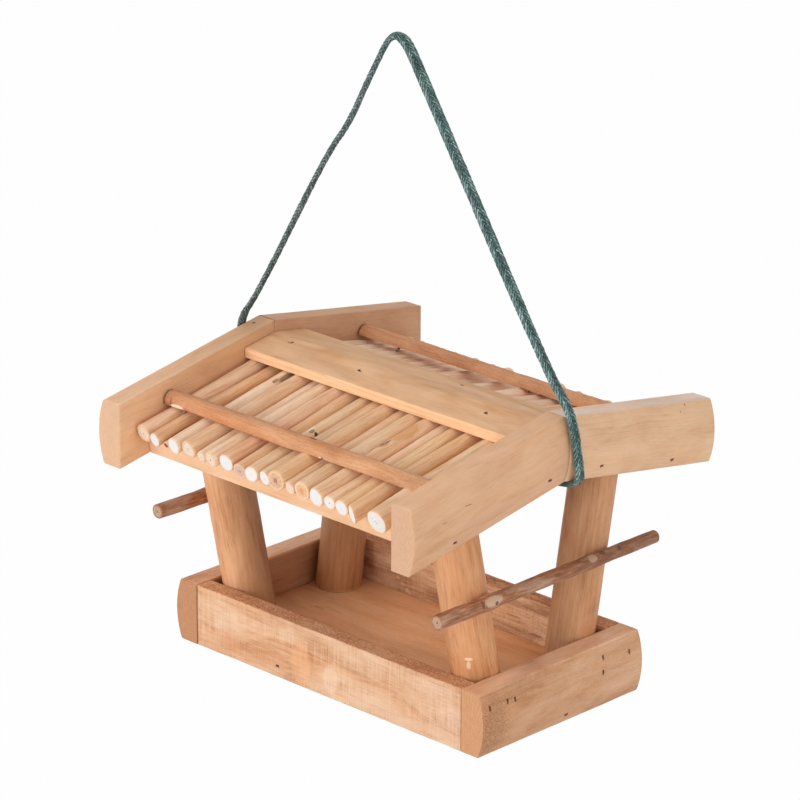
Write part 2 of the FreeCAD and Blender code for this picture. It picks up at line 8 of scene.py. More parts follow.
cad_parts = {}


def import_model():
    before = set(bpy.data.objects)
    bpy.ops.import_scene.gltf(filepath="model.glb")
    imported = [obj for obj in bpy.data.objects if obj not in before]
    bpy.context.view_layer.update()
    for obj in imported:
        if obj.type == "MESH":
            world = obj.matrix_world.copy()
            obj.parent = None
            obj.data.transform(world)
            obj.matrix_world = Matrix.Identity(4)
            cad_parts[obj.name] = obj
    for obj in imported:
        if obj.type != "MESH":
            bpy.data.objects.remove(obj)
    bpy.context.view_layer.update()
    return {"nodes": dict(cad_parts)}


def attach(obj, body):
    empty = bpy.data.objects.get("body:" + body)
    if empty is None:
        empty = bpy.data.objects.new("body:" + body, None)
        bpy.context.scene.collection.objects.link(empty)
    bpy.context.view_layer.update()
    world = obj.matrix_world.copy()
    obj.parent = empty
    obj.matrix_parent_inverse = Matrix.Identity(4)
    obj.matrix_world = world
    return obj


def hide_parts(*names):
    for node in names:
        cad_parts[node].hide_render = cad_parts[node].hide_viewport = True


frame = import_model()
SOLIDS = frame["nodes"]

# Lengths in this script are millimetres, turned into metres where a mesh, lamp or cord is made.
MM = 0.001

# The shapes' numbers, as in the part's source
SLAB_WIDTH, SLAB_EDGE, SLAB_CROWN, SLAB_ROUND = 38.3, 13.6, 17.5, 3.0
TRAY_END, TRAY_WIDTH, WALL, FLOOR = 106.6, 131.9, 11.6, 12.8
ROOF_END, RIDGE, HALF_SPAN = 107.9, 185.0, 122.6
PITCH, STICK_PITCH = math.radians(9.73), math.radians(12.0)
RAIL_WIDTH, RAIL_THICKNESS, EAVE_REACH = 20.0, 12.4, 99.5
CAP_HALF, CAP_EDGE, CAP_ROOM = 24.5, 6.2, 9.9
BATTEN_RADIUS, BATTEN_BELOW = 6.2, 1.0
SEAT_GAP, JOINT_LINE = 0.1, 0.2
TRAY_REACH, ROOF_REACH = TRAY_END - JOINT_LINE, ROOF_END - JOINT_LINE
SLOPE, STRETCH = math.tan(PITCH), 1 / math.cos(PITCH)
UP_SLOPE = np.array([0, math.cos(STICK_PITCH), math.sin(STICK_PITCH)])
OUT_OF_SLOPE = np.array([0, -UP_SLOPE[2], UP_SLOPE[1]])
EAVE_CORNER = np.array([0, -EAVE_REACH, RIDGE - SLAB_WIDTH / math.cos(PITCH) - EAVE_REACH * SLOPE])
STICK_SEAT = RAIL_THICKNESS + SEAT_GAP
X_AXIS = np.array([1.0, 0, 0])
# Edges sharper than this are shaded as edges.
CREASE = math.radians(42)


# Camera

CAMERA_PLACE = Vector((1665.147, -1707.459, 1036.885))
AZIMUTH, ELEVATION, ROLL = (math.radians(a) for a in (44.377, 20.119, 0.17))
FOCAL_PIXELS, PICTURE_PIXELS, SENSOR = 4473.46, 800, 36.0


def link(obj):
    bpy.context.scene.collection.objects.link(obj)
    return obj


def add_camera():
    back = Vector((math.sin(AZIMUTH) * math.cos(ELEVATION),
                   -math.cos(AZIMUTH) * math.cos(ELEVATION), math.sin(ELEVATION)))
    level = Vector((math.cos(AZIMUTH), math.sin(AZIMUTH), 0))
    upright = back.cross(level)
    right = level * math.cos(ROLL) + upright * math.sin(ROLL)
    up = upright * math.cos(ROLL) - level * math.sin(ROLL)
    data = bpy.data.cameras.new("camera")
    data.sensor_width = SENSOR
    data.lens = FOCAL_PIXELS / PICTURE_PIXELS * SENSOR
    data.clip_end = 50.0
    camera = link(bpy.data.objects.new("camera", data))
    stand = Matrix((right, up, back)).transposed().to_4x4()
    stand.translation = CAMERA_PLACE * MM
    camera.matrix_world = stand
    bpy.context.scene.camera = camera


add_camera()


# Numbers and noise

def seeded(name):
    return np.random.default_rng(zlib.crc32(name.encode()))


def perlin(x, y, z, octaves=2):
    """Smooth noise at each point, about -1 to 1."""
    return np.array([noise.fractal(Vector(p), 0.6, 2.1, octaves) for p in np.broadcast(x, y, z)])


def lumps(s, u, v, along, across, seed, octaves=2):
    """The same in a piece's own space, with one scale along it and one across."""
    return perlin(s * along + seed, u * across + seed, v * across + seed, octaves)


def unit(v):
    return v / np.linalg.norm(v)


def middle_of(points):
    return (points.max(0) + points.min(0)) / 2


def circle(count):
    """Cosines and sines of equal steps round a circle."""
    turns = np.arange(count) * 2 * math.pi / count
    return np.cos(turns), np.sin(turns)


# Meshes

def make_object(name, points, faces, materials, slots=None, smooth=True):
    mesh = bpy.data.meshes.new(name)
    mesh.from_pydata([tuple(p) for p in np.asarray(points, float) * MM], [], faces)
    for material in materials:
        mesh.materials.append(material)
    if slots is not None:
        mesh.polygons.foreach_set("material_index", slots)
    mesh.polygons.foreach_set("use_smooth", [smooth] * len(mesh.polygons))
    mesh.validate()
    return link(bpy.data.objects.new(name, mesh))


def loft(rings, caps=0):
    """Points, faces and slots (0 for sides, 1 for ends) through rings of equally many points.

    The first and last caps rings lie on the ends."""
    count, last = len(rings[0]), len(rings) - 1
    faces, slots = [], []
    for k in range(last):
        a, b = k * count, (k + 1) * count
        for i in range(count):
            j = (i + 1) % count
            faces.append((a + i, a + j, b + j, b + i))
            slots.append(int(k < caps or k >= last - caps))
    faces.append(tuple(range(count - 1, -1, -1)))
    faces.append(tuple(range(last * count, (last + 1) * count)))
    return np.concatenate(rings), faces, slots + [1, 1]


def add_values(obj, name, values, kind="FLOAT"):
    """Writes a number, vector or colour for each point onto the mesh."""
    attribute = obj.data.attributes.new(name, kind, "POINT")
    key = {"FLOAT": "value", "FLOAT_VECTOR": "vector", "FLOAT_COLOR": "color"}[kind]
    attribute.data.foreach_set(key, np.asarray(values, np.float32).ravel())


def vertices(obj):
    flat = np.zeros(len(obj.data.vertices) * 3, np.float32)
    obj.data.vertices.foreach_get("co", flat)
    return flat.reshape(-1, 3).astype(float) / MM


def tints_at(tint, places):
    return np.ones(places.shape) * (tint(places) if callable(tint) else tint)


def fade(values, places, starts, ends):
    """Tints that change from starts to ends as the values run from one place to the other."""
    return np.stack([np.interp(values, places, pair) for pair in zip(starts, ends)], 1)


def finish_wood(obj, along, across, pith, tint):
    """Sets sharp edges, and writes the grain's own coordinates and the piece's tint, which holds
    painted light and shade on many pieces.
    """
    obj.data.set_sharp_from_angle(angle=CREASE)
    places = vertices(obj)
    along, across = unit(np.array(along, float)), unit(np.array(across, float))
    depth = np.cross(along, across)
    shift = seeded(obj.name).uniform(0, 4000)
    grain = np.stack([places @ along + shift, places @ across - pith[0],
                      places @ depth - pith[1]], 1)
    add_values(obj, "grain", grain, "FLOAT_VECTOR")
    tints = np.concatenate([tints_at(tint, places), np.ones((len(places), 1))], 1)
    add_values(obj, "tint", tints, "FLOAT_COLOR")


def place(obj, node, body="table"):
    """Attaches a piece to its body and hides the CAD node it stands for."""
    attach(obj, body)
    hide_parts(node)
    return obj


def islands(obj):
    """Vertex positions of each separate solid of a CAD node."""
    keys = {}
    merged = [keys.setdefault(tuple(np.round(p, 3)), len(keys)) for p in vertices(obj)]
    parent = list(range(len(keys)))

    def root(i):
        while parent[i] != i:
            parent[i] = parent[parent[i]]
            i = parent[i]
        return i

    for polygon in obj.data.polygons:
        ids = [merged[v] for v in polygon.vertices]
        for other in ids[1:]:
            parent[root(other)] = root(ids[0])
    groups = {}
    for key, index in keys.items():
        groups.setdefault(root(index), []).append(key)
    return [np.array(g) for g in groups.values()]


# Node trees

class Nodes:
    """A node tree of a material or world, and short ways to add to it."""

    def __init__(self, owner):
        owner.use_nodes = True
        self.tree = owner.node_tree
        self.tree.nodes.clear()

    def add(self, kind, inputs=(), **settings):
        node = self.tree.nodes.new(kind)
        for key, value in settings.items():
            setattr(node, key, value)
        for key, value in dict(inputs).items():
            self.put(node.inputs[key], value)
        return node

    def put(self, socket, value):
        if isinstance(value, bpy.types.NodeSocket):
            self.tree.links.new(value, socket)
        else:
            socket.default_value = value

    def attribute(self, name, output="Fac"):
        return self.add("ShaderNodeAttribute", attribute_name=name).outputs[output]

    def math(self, operation, *values):
        return self.add("ShaderNodeMath", dict(enumerate(values)), operation=operation).outputs[0]

    def times(self, a, b):
        return self.math("MULTIPLY", a, b)

    def centred(self, value):
        return self.math("SUBTRACT", value, 0.5)

    def total(self, base, *parts):
        """Base plus each part, given as (value, weight)."""
        for value, weight in parts:
            base = self.math("MULTIPLY_ADD", value, weight, base)
        return base

    def vector(self, operation, *values):
        node = self.add("ShaderNodeVectorMath", dict(enumerate(values)), operation=operation)
        return node.outputs["Value" if operation == "LENGTH" else 0]

    def noise(self, vector, stretch, detail=3.0, roughness=0.55, distortion=0.0, output=0):
        """Noise with one scale, or with one for each axis."""
        if isinstance(stretch, tuple):
            vector, stretch = self.vector("MULTIPLY", vector, stretch), 1.0
        return self.add("ShaderNodeTexNoise", {
            "Vector": vector, "Scale": stretch, "Detail": detail, "Roughness": roughness,
            "Distortion": distortion}).outputs[output]

    def ramp(self, factor, *stops, smooth=False, gain=(1, 1, 1)):
        """Ramp through (position, number) or (position, colour picked as 0 to 255)."""
        node = self.add("ShaderNodeValToRGB", {0: factor})
        ramp = node.color_ramp
        ramp.interpolation = "EASE" if smooth else "LINEAR"
        while len(ramp.elements) < len(stops):
            ramp.elements.new(0.5)
        for element, (position, value) in zip(ramp.elements, stops):
            element.position = position
            colour = linear(value, gain) if isinstance(value, tuple) else (value, value, value)
            element.color = (*colour, 1.0)
        return node.outputs[0]

    def rise(self, factor, start, end, low=0.0, high=1.0, smooth=False):
        return self.ramp(factor, (start, low), (end, high), smooth=smooth)

    def rings(self, distance, width, *stops):
        """Repeats smooth stops each width along a distance."""
        phase = self.math("FRACT", self.math("DIVIDE", distance, width))
        return self.ramp(phase, (0.0, 0.0), *stops, (1.0, 0.0), smooth=True)

    def mix(self, factor, a, b, blend="MIX"):
        a, b = ((*c, 1.0) if isinstance(c, tuple) else c for c in (a, b))
        return self.add("ShaderNodeMix", {0: factor, 6: a, 7: b}, data_type="RGBA",
                        blend_type=blend).outputs[2]

    def seen(self):
        """1 for what the camera sees, straight, in a reflection or through a clear thing."""
        rays = self.add("ShaderNodeLightPath").outputs
        seen = self.math("MAXIMUM", rays["Is Camera Ray"], rays["Is Glossy Ray"])
        return self.math("MAXIMUM", seen, rays["Is Transmission Ray"])


class Shading(Nodes):
    """A new material with one main shader."""

    def __init__(self, name):
        self.material = bpy.data.materials.new(name)
        super().__init__(self.material)
        self.shader = self.add("ShaderNodeBsdfPrincipled")
        self.output = self.add("ShaderNodeOutputMaterial", {0: self.shader.outputs[0]})

    def set(self, name, value):
        self.put(self.shader.inputs[name], value)

    def finish(self, colour, roughness, specular, height, distance, strength):
        self.set("Base Color", colour)
        self.set("Roughness", roughness)
        self.set("Specular IOR Level", specular)
        self.set("Normal", self.add("ShaderNodeBump", {
            "Height": height, "Distance": distance * MM, "Strength": strength}).outputs[0])
        return self.material

    def tinted(self, colour):
        return self.mix(1.0, colour, self.attribute("tint", "Color"), "MULTIPLY")

    def spot(self, centre, size, ragged=0.3, edge=0.25):
        """1 inside an ellipsoid about a place in millimetres and 0 outside, with a ragged edge."""
        if not hasattr(self, "where"):
            metres = self.add("ShaderNodeTexCoord").outputs["Object"]
            self.where = self.vector("MULTIPLY", metres, (1000, 1000, 1000))
            self.shake = self.centred(self.noise(self.where, (0.9, 0.9, 0.9)))
        offset = self.vector("DIVIDE", self.vector("SUBTRACT", self.where, tuple(centre)), size)
        reach = self.total(self.vector("LENGTH", offset), (self.shake, ragged * 2))
        return self.rise(self.times(reach, 0.5), 0.5 - edge / 2, 0.5, 1.0, 0.0)

    def marks(self, spots, colour, height):
        """Colour and height with spots of (centre, size, colour, strength, depth)."""
        for centre, size, shade, strength, depth in spots:
            mark = self.spot(centre, size)
            colour = self.mix(self.times(mark, strength), colour, linear(shade))
            height = self.total(height, (mark, depth))
        return colour, height


def linear(picked, gain=(1, 1, 1)):
    """Scene colour of a colour picked as 0 to 255."""
    return tuple((((c / 255 + 0.055) / 1.055) ** 2.4 if c > 10 else c / 255 / 12.92) * g
                 for c, g in zip(picked, gain))


def grain_space(s):
    """Grain coordinates, the same with a slow wander, and the distance from the pith."""
    grain = s.attribute("grain", "Vector")
    wander = s.noise(grain, (0.009, 0.035, 0.035), 2.0, output=1)
    wander = s.vector("SUBTRACT", wander, (0.5, 0.5, 0.5))
    moved = s.vector("ADD", grain, s.vector("MULTIPLY", wander, (0, 9.0, 9.0)))
    return grain, moved, s.vector("LENGTH", s.vector("MULTIPLY", moved, (0, 1, 1)))


def wood(name, light, middle, dark, ring, rings, fibres, blotch, flecks, fleck_colour, roughness,
         relief, saw=0.0, fuzz=0.0, streaks=0.0, warm=0.3, gain=(1, 1, 1), spots=(), rough=()):
    """Planed, sawn or peeled wood: growth rings, fibres, blotches and dark flecks along the grain.

    Ring is the rings' width, the numbers from rings to flecks are strengths. Spots are (centre,
    size, colour, strength, depth), and rough places (centre, size, strength)."""
    s = Shading(name)
    grain, moved, radius = grain_space(s)
    shown = s.rise(s.noise(grain, (0.006, 0.10, 0.10), 1.0), 0.35, 0.65, 0.15)
    late = s.times(s.rings(radius, ring, (0.45, 0.12), (0.84, 1.0)), shown)
    fibre = s.noise(moved, (0.045, 1.5, 1.5), 5.0, 0.6)
    fine = s.noise(grain, (0.22, 5.5, 5.5), 3.0, 0.6)
    patch = s.noise(grain, (0.025, 0.07, 0.07), 4.0, 0.6, 0.4)
    amount = s.total(0.0, (s.rise(fibre, 0.3, 0.7), fibres), (late, rings),
                     (s.rise(patch, 0.32, 0.68), blotch), (s.centred(fine), 0.35))
    height = s.total(fibre, (fine, 0.5), (late, 0.25))
    if streaks:
        streak = s.noise(moved, (0.012, 0.55, 0.55), 2.0, 0.5)
        amount = s.total(amount, (s.centred(s.rise(streak, 0.38, 0.62)), streaks))
    if saw:
        worn = s.rise(s.noise(grain, (0.02, 0.05, 0.05), 2.0), 0.4, 0.6, 0.1)
        tooth = s.times(s.centred(s.noise(grain, (0.7, 0.03, 0.03), 3.0, 0.65)), worn)
        amount, height = (s.total(base, (tooth, saw)) for base in (amount, height))
    if fuzz:
        nap = s.noise(grain, (0.9, 1.6, 1.6), 4.0, 0.75)
        amount = s.total(amount, (s.centred(nap), fuzz * 1.6))
        height = s.total(height, (nap, fuzz * 2.0))
    for centre, size, strength in rough:
        torn = s.times(s.spot(centre, size, 0.1, 0.5), strength)
        chips = s.rise(s.noise(s.where, (1.1, 1.3, 1.3), 2.0, 0.7), 0.40, 0.62)
        chips = s.math("SUBTRACT", chips, 0.45)
        amount = s.total(amount, (chips, torn))
        height = s.total(height, (chips, s.times(torn, -1.5)))
    colour = s.ramp(amount, (0.0, light), (0.5, middle), (1.0, dark), gain=gain)
    glow = s.rise(s.noise(grain, (0.016, 0.05, 0.05)), 0.42, 0.66)
    colour = s.mix(s.times(glow, warm), colour, (1.02, 0.88, 0.72), "MULTIPLY")
    fleck = s.rise(s.noise(grain, (0.10, 2.2, 2.2), 2.0, 0.5), 0.60, 0.74)
    colour = s.tinted(s.mix(s.times(fleck, flecks), colour, linear(fleck_colour)))
    colour, height = s.marks(spots, colour, height)
    sheen = s.rise(fibre, 0.3, 0.7, roughness - 0.08, roughness + 0.08)
    return s.finish(colour, sheen, 0.3, height, relief * 3.0, 0.6)


def end_grain(name, light, dark, ring, rings, speckle, gain=(1, 1, 1)):
    """Sawn board end: rings about the pith, rays and open pores."""
    s = Shading(name)
    grain, _, radius = grain_space(s)
    late = s.rings(radius, ring, (0.6, 0.3), (0.88, 1.0))
    pores = s.noise(grain, (1.2, 3.0, 3.0), 3.0, 0.65)
    cloud = s.noise(grain, (0.3, 0.3, 0.3))
    amount = s.total(s.times(cloud, 0.35), (late, rings), (s.rise(pores, 0.45, 0.7), speckle))
    colour = s.tinted(s.ramp(amount, (0.1, light), (0.9, dark), gain=gain))
    scratch = s.noise(grain, (1.0, 0.35, 2.5))
    return s.finish(colour, 0.8, 0.25, s.total(pores, (scratch, 0.6)), 0.24, 0.6)


def stick_end(name, core, rim, heart=(0.1, (190, 150, 120)), specks=(0.0, (120, 90, 70)),
              ringed=0.1, width=0.16):
    """End of a peeled stick: pale core, thin rim of inner bark, heart and specks."""
    s = Shading(name)
    grain = s.attribute("grain", "Vector")
    cloud = s.noise(grain, (0.4, 0.6, 0.6), 3.0, 0.6)
    shaken = s.total(s.attribute("rim"), (s.centred(cloud), 0.5))
    edge = s.rise(shaken, 1.0 - width * 1.6, 1.0 - width * 0.5, smooth=True)
    colour = s.mix(edge, linear(core), linear(rim))
    phase = s.math("FRACT", s.times(shaken, 3.6))
    rings = s.ramp(phase, (0.0, 0.0), (0.7, 1.0), (1.0, 0.0), smooth=True)
    colour = s.mix(s.times(rings, ringed), colour, linear(rim), "MULTIPLY")
    size, shade = heart
    middle = s.rise(shaken, size * 0.6, size * 1.3, 1.0, 0.0, True)
    colour = s.mix(s.times(middle, 0.85), colour, linear(shade))
    share, shade = specks
    pores = s.noise(grain, (0.6, 1.5, 1.5), 2.0, 0.6)
    dots = s.times(s.rise(pores, 0.56, 0.66), s.rise(shaken, 0.62, 0.86, 1.0, 0.0))
    colour = s.mix(s.times(dots, share), colour, linear(shade))
    return s.finish(colour, 0.75, 0.25, s.total(pores, (cloud, 1.2)), 0.25, 0.5)


def on_panel(side_y, up, out, x):
    """Point of a roof panel, up its slope and out from it, from the eave corner."""
    point = EAVE_CORNER + UP_SLOPE * up + OUT_OF_SLOPE * out
    return np.array([x, -side_y * point[1], point[2]])


def panel_up(distance, out):
    """Place up the slope of a point at this distance from the ridge's plane."""
    return (EAVE_REACH - distance + out * UP_SLOPE[2]) / UP_SLOPE[1]


WALL_WOOD = wood(
    "wall_wood", (240, 200, 166), (224, 174, 136), (188, 126, 88), ring=3, rings=0.15, fibres=0.3,
    blotch=0.6, flecks=0.4, fleck_colour=(160, 102, 70), roughness=0.72, relief=0.14, saw=1.3,
    fuzz=0.4, warm=0.7, gain=(0.9, 0.93, 0.95),
    spots=[
        ((51.2, -65.9, 18), (0.5, 1.5, 22), (244, 204, 168), 0.22, 0),
        ((-78, -65.9, 9), (9, 1.5, 5), (214, 150, 110), 0.5, 0),
        ((-20, -65.9, 14), (9, 1.5, 16), (238, 178, 132), 0.4, 0),
        ((4, -65.9, 12), (7, 1.5, 9), (240, 214, 188), 0.35, 0)],
    rough=[((0, -60, 40), (500, 20, 2.9), 1.7), ((0, 60, 40), (500, 20, 2.9), 1)])
BACK_WALL_WOOD = wood(
    "back_wall_wood", (236, 192, 154), (214, 162, 124), (160, 104, 74), ring=3, rings=0.2,
    fibres=0.35, blotch=0.7, flecks=0.3, fleck_colour=(126, 78, 54), roughness=0.75, relief=0.3,
    saw=0.4, fuzz=0.5, warm=0.5, streaks=0.2, gain=(1.06, 1.08, 1.1),
    spots=[
        ((-60.4, 54.4, 21), (1.6, 2, 1.3), (238, 186, 142), 0.9, 0.6),
        ((-58.6, 54.4, 19.4), (1.5, 2, 1.1), (206, 146, 104), 0.8, 0.4),
        ((-56.8, 54.4, 17.9), (1.7, 2, 1.2), (236, 184, 140), 0.9, 0.6),
        ((-54.7, 54.4, 16.2), (1.6, 2, 1), (204, 142, 100), 0.8, 0.4),
        ((-52.8, 54.4, 14.8), (1.7, 2, 1.3), (240, 192, 150), 0.9, 0.6),
        ((-50.6, 54.4, 13.6), (1.6, 2, 1.2), (238, 188, 146), 0.9, 0.6),
        ((-38, 54.4, 16), (1, 2, 4), (216, 160, 118), 0.6, 0.4),
        ((34, 54.4, 24), (7, 2, 0.8), (140, 88, 62), 0.45, -0.5),
        ((44, 54.4, 20), (5, 2, 1), (226, 170, 128), 0.7, 0.5),
        ((52, 54.4, 17), (6, 2, 0.9), (136, 86, 60), 0.45, -0.5),
        ((60, 54.4, 26), (5, 2, 1), (222, 166, 126), 0.6, 0.5)],
    rough=[((56, 54.4, 22), (34, 4, 16), 0.3), ((0, 60, 40), (500, 20, 2.9), 1)])
END_BOARD_WOOD = wood(
    "end_board_wood", (228, 184, 148), (210, 160, 120), (172, 118, 82), ring=2.6, rings=0.2,
    fibres=0.3, blotch=0.55, flecks=0.25, fleck_colour=(140, 88, 58), roughness=0.6, relief=0.1,
    fuzz=0.6, warm=0.4,
    spots=[((121.5, -57, 20), (6, 12, 17), (202, 142, 100), 0.35, 0)],
    rough=[((122, -57, 18), (6, 15, 21), 1.3)])
FLOOR_WOOD = wood(
    "floor_wood", (240, 192, 148), (226, 172, 128), (194, 138, 96), ring=3.2, rings=0.12,
    fibres=0.15, blotch=0.55, flecks=0.3, fleck_colour=(150, 96, 62), roughness=0.6, relief=0.09,
    warm=0.6, fuzz=0.5, streaks=0.15, gain=(1.1, 1.12, 1.13),
    spots=[
        ((-74.3, 2.8, 12.8), (4.5, 2.2, 2), (150, 94, 62), 0.3, 0),
        ((-66, 6, 12.8), (9, 1.6, 2), (170, 112, 76), 0.25, 0)])
BARGE_WOOD = wood(
    "barge_wood", (232, 192, 156), (218, 174, 138), (196, 146, 108), ring=2.8, rings=0.14,
    fibres=0.2, blotch=0.5, flecks=0.3, fleck_colour=(160, 108, 76), roughness=0.58, relief=0.06,
    warm=0.4, fuzz=0.15,
    spots=[
        ((-116.2, -8.9, 183.4), (1, 1, 2), (50, 34, 26), 0.95, -0.6),
        ((-116, 0.4, 185), (9.5, 0.5, 2.6), (78, 50, 38), 0.8, -0.5),
        ((125, -80.5, 156.2), (1.5, 3.2, 0.45), (150, 104, 74), 0.6, -0.3),
        ((125, -99, 151), (1.5, 2.4, 0.4), (160, 112, 80), 0.5, -0.3),
        ((122.3, 99.2, 166.2), (1.6, 0.7, 0.7), (140, 92, 66), 0.7, -0.3),
        ((123.2, 94.5, 163.5), (1.6, 0.6, 0.6), (150, 100, 72), 0.7, -0.3)])
CAP_WOOD = wood(
    "cap_wood", (230, 190, 152), (212, 168, 128), (190, 142, 102), ring=3.4, rings=0.35,
    fibres=0.25, blotch=0.5, flecks=0.15, fleck_colour=(160, 112, 78), roughness=0.6, relief=0.06,
    warm=0.5, fuzz=0.15, gain=(1.12, 1.09, 1.06),
    spots=[
        ((-88, -5, 177), (1.1, 1.1, 3), (62, 42, 32), 0.9, 0),
        ((-28.6, -9.9, 175.8), (1.1, 1.1, 3), (62, 42, 32), 0.9, 0),
        ((70.5, -9.5, 175.8), (1.1, 1.1, 3), (62, 42, 32), 0.9, 0),
        ((27.6, 16.1, 175.5), (1.6, 0.8, 2), (160, 116, 88), 0.6, -0.2)])
RAIL_WOOD = wood(
    "rail_wood", (236, 196, 160), (224, 178, 140), (196, 142, 104), ring=2.2, rings=0.25,
    fibres=0.3, blotch=0.3, flecks=0.2, fleck_colour=(150, 98, 66), roughness=0.66, relief=0.08,
    fuzz=0.2)
POST_WOOD = wood(
    "post_wood", (228, 176, 134), (212, 156, 112), (176, 118, 78), ring=1.6, rings=0.05,
    fibres=0.35, blotch=0.6, flecks=0.25, fleck_colour=(128, 82, 54), roughness=0.5, relief=0.1,
    streaks=0.22, warm=0.5, fuzz=0.15,
    spots=[
        ((100.6, -53.6, 50.3), (2.6, 2.6, 1.1), (246, 208, 170), 0.95, 0.6),
        ((100.2, -53, 46.5), (1.3, 1.5, 3.4), (242, 206, 168), 0.85, 0.5),
        ((-86, 35, 12.6), (26, 26, 1.7), (222, 178, 136), 0.5, 0.2)])
BATTEN_WOOD = wood(
    "batten_wood", (226, 174, 132), (208, 150, 108), (170, 114, 80), ring=1.5, rings=0.05,
    fibres=0.4, blotch=0.6, flecks=0.35, fleck_colour=(136, 90, 62), roughness=0.7, relief=0.18,
    fuzz=0.7, warm=0.8,
    spots=[
        ((-96.5, -88.6, 156.8), (6.2, 1.6, 1.7), (252, 234, 208), 1, 1),
        ((-89.5, -88.7, 157), (3.4, 1.4, 1.2), (208, 110, 78), 0.6, 0.2),
        # Painted shade: a thin dark ring round the front batten's left end, against the gable
        # board.
        ((-101.5, -86, 158), (0.7, 6, 5), (92, 58, 44), 0.5, -0.2),
        (on_panel(-1, 16, 24.6, 18.6), (1.5, 1.5, 1.5), (252, 236, 216), 1, 0.6),
        (on_panel(-1, 16.2, 24.4, 20.6), (1, 1.3, 1.3), (50, 34, 26), 1, -0.6),
        (on_panel(-1, 24.5, 30, 7.5), (3.4, 1.6, 1.6), (120, 74, 50), 0.8, -0.4)])
STICK_WOOD = wood(
    "stick_wood", (240, 204, 168), (228, 184, 144), (198, 148, 106), ring=1.2, rings=0, fibres=0.35,
    blotch=0.45, flecks=0.3, fleck_colour=(150, 100, 66), roughness=0.5, relief=0.1, streaks=0.35,
    warm=0.6, fuzz=0.12,
    spots=[
        ((-71.8, -25.5, 165.8), (1.9, 7, 4), (118, 84, 68), 0.85, -0.2),
        ((-73.4, -33, 164.6), (1.1, 2.6, 4), (112, 80, 64), 0.7, -0.2),
        ((-71, -29, 165.6), (3.4, 9, 4), (190, 148, 120), 0.35, 0),
        ((36.3, -56.6, 161.4), (3.6, 4.4, 5), (170, 112, 78), 0.7, -0.2),
        ((36, -57, 161.3), (1.7, 1.5, 4), (70, 42, 34), 0.95, -0.6),
        ((37.6, -53.4, 161.8), (0.8, 3, 4), (104, 66, 50), 0.8, -0.4),
        ((34, -64, 159.6), (4.6, 5, 5), (250, 226, 200), 0.5, 0.2),
        ((38, -40, 164), (5.5, 13, 6), (214, 148, 78), 0.65, 0),
        ((82, -60, 160), (4, 18, 6), (216, 152, 88), 0.5, 0),
        ((-11.7, -64.4, 158.4), (1.5, 2.2, 3), (150, 110, 94), 0.8, -0.5),
        ((-13.4, -63.2, 158.8), (0.9, 3.2, 2.6), (250, 230, 212), 0.8, 0.2),
        ((-9.2, -63.2, 157.2), (1.3, 1.3, 2.6), (40, 28, 22), 0.95, -0.8)])
BOARD_END = end_grain("board_end_grain", (222, 176, 140), (186, 134, 98), 2.2, 0.2, 0.5)
PALE_BOARD_END = end_grain(
    "pale_board_end_grain", (236, 200, 170), (206, 162, 130), 2.4, 0.1, 0.6,
    gain=(0.73, 0.69, 0.66))
# Core, rim, heart with its size, specks with their share, strength of rings and rim's width
STICK_ENDS = {name: stick_end("stick_end_" + name, *look) for name, look in {
    "white": ((226, 221, 218), (230, 200, 170)),
    "cool": ((222, 221, 222), (228, 202, 176), (0.08, (204, 194, 188))),
    "cream": ((228, 208, 190), (220, 182, 146), (0.1, (180, 146, 120)),
              (0.5, (176, 140, 114)), 0.2, 0.22),
    "dotted": ((228, 206, 184), (224, 186, 150), (0.13, (74, 50, 40)),
               (0.3, (180, 142, 114)), 0.15, 0.22),
    "tan": ((216, 176, 146), (226, 188, 154), (0.26, (164, 104, 78)),
            (0.85, (120, 70, 52)), 0.2, 0.24),
    "orange": ((226, 182, 144), (230, 198, 168), (0.34, (216, 146, 98)),
               (0.8, (184, 106, 66)), 0.2, 0.24),
    "pink": ((208, 176, 162), (224, 190, 164), (0.18, (176, 132, 118)),
             (0.5, (150, 106, 92)), 0.2, 0.24),
    "hollow": ((150, 70, 44), (232, 190, 156), (0.5, (110, 42, 26)),
               (0.6, (84, 30, 20)), 0.2, 0.34),
    "grey": ((224, 221, 218), (232, 206, 178), (0.1, (156, 154, 148)),
             (0.75, (166, 164, 158)), 0.12),
}.items()}
PERCH_END = stick_end(
    "perch_end_grain", (196, 160, 134), (150, 106, 78), (0.16, (120, 82, 58)),
    (0.5, (120, 84, 62)), 0.4, 0.2)


# Cord

CORD_WIDTH, CORD_THICKNESS = 6.3, 3.3
BRAID_PITCH, BRAID_LEAN = 2.9, 2.0
CORD_OUT, CORD_HEIGHT, CORD_SKEW = 128.2, 142.209, 6.6
CORD_TURN_Y = CORD_SKEW * ROOF_END / CORD_OUT
CORD_MIDDLE = np.array([0, 0, CORD_HEIGHT])
HANGING_ROUTE = [
    (ROOF_END, CORD_TURN_Y, CORD_HEIGHT), (CORD_OUT, CORD_SKEW, CORD_HEIGHT),
    (128.1, 3.8, 160.4), (127.9, -1.7, 188.4), (110.6, -2.5, 207.3), (19.0, -3.8, 350.7),
    (0.2, -8.6, 387.8), (-16.4, -13.9, 353.0), (-33.0, -13.4, 322.5), (-51.4, -13.0, 300.5),
    (-109.7, -11.5, 203.4), (-128.3, -9.6, 182.5),
    (-CORD_OUT, -CORD_SKEW, CORD_HEIGHT), (-ROOF_END, -CORD_TURN_Y, CORD_HEIGHT),
]
# The cord's width direction where it lies flat to the photo's camera, and where it lies edge on
FACING, EDGEWISE = (0.565, 0.74, 0.365), (-0.441, 0.866, 0.234)
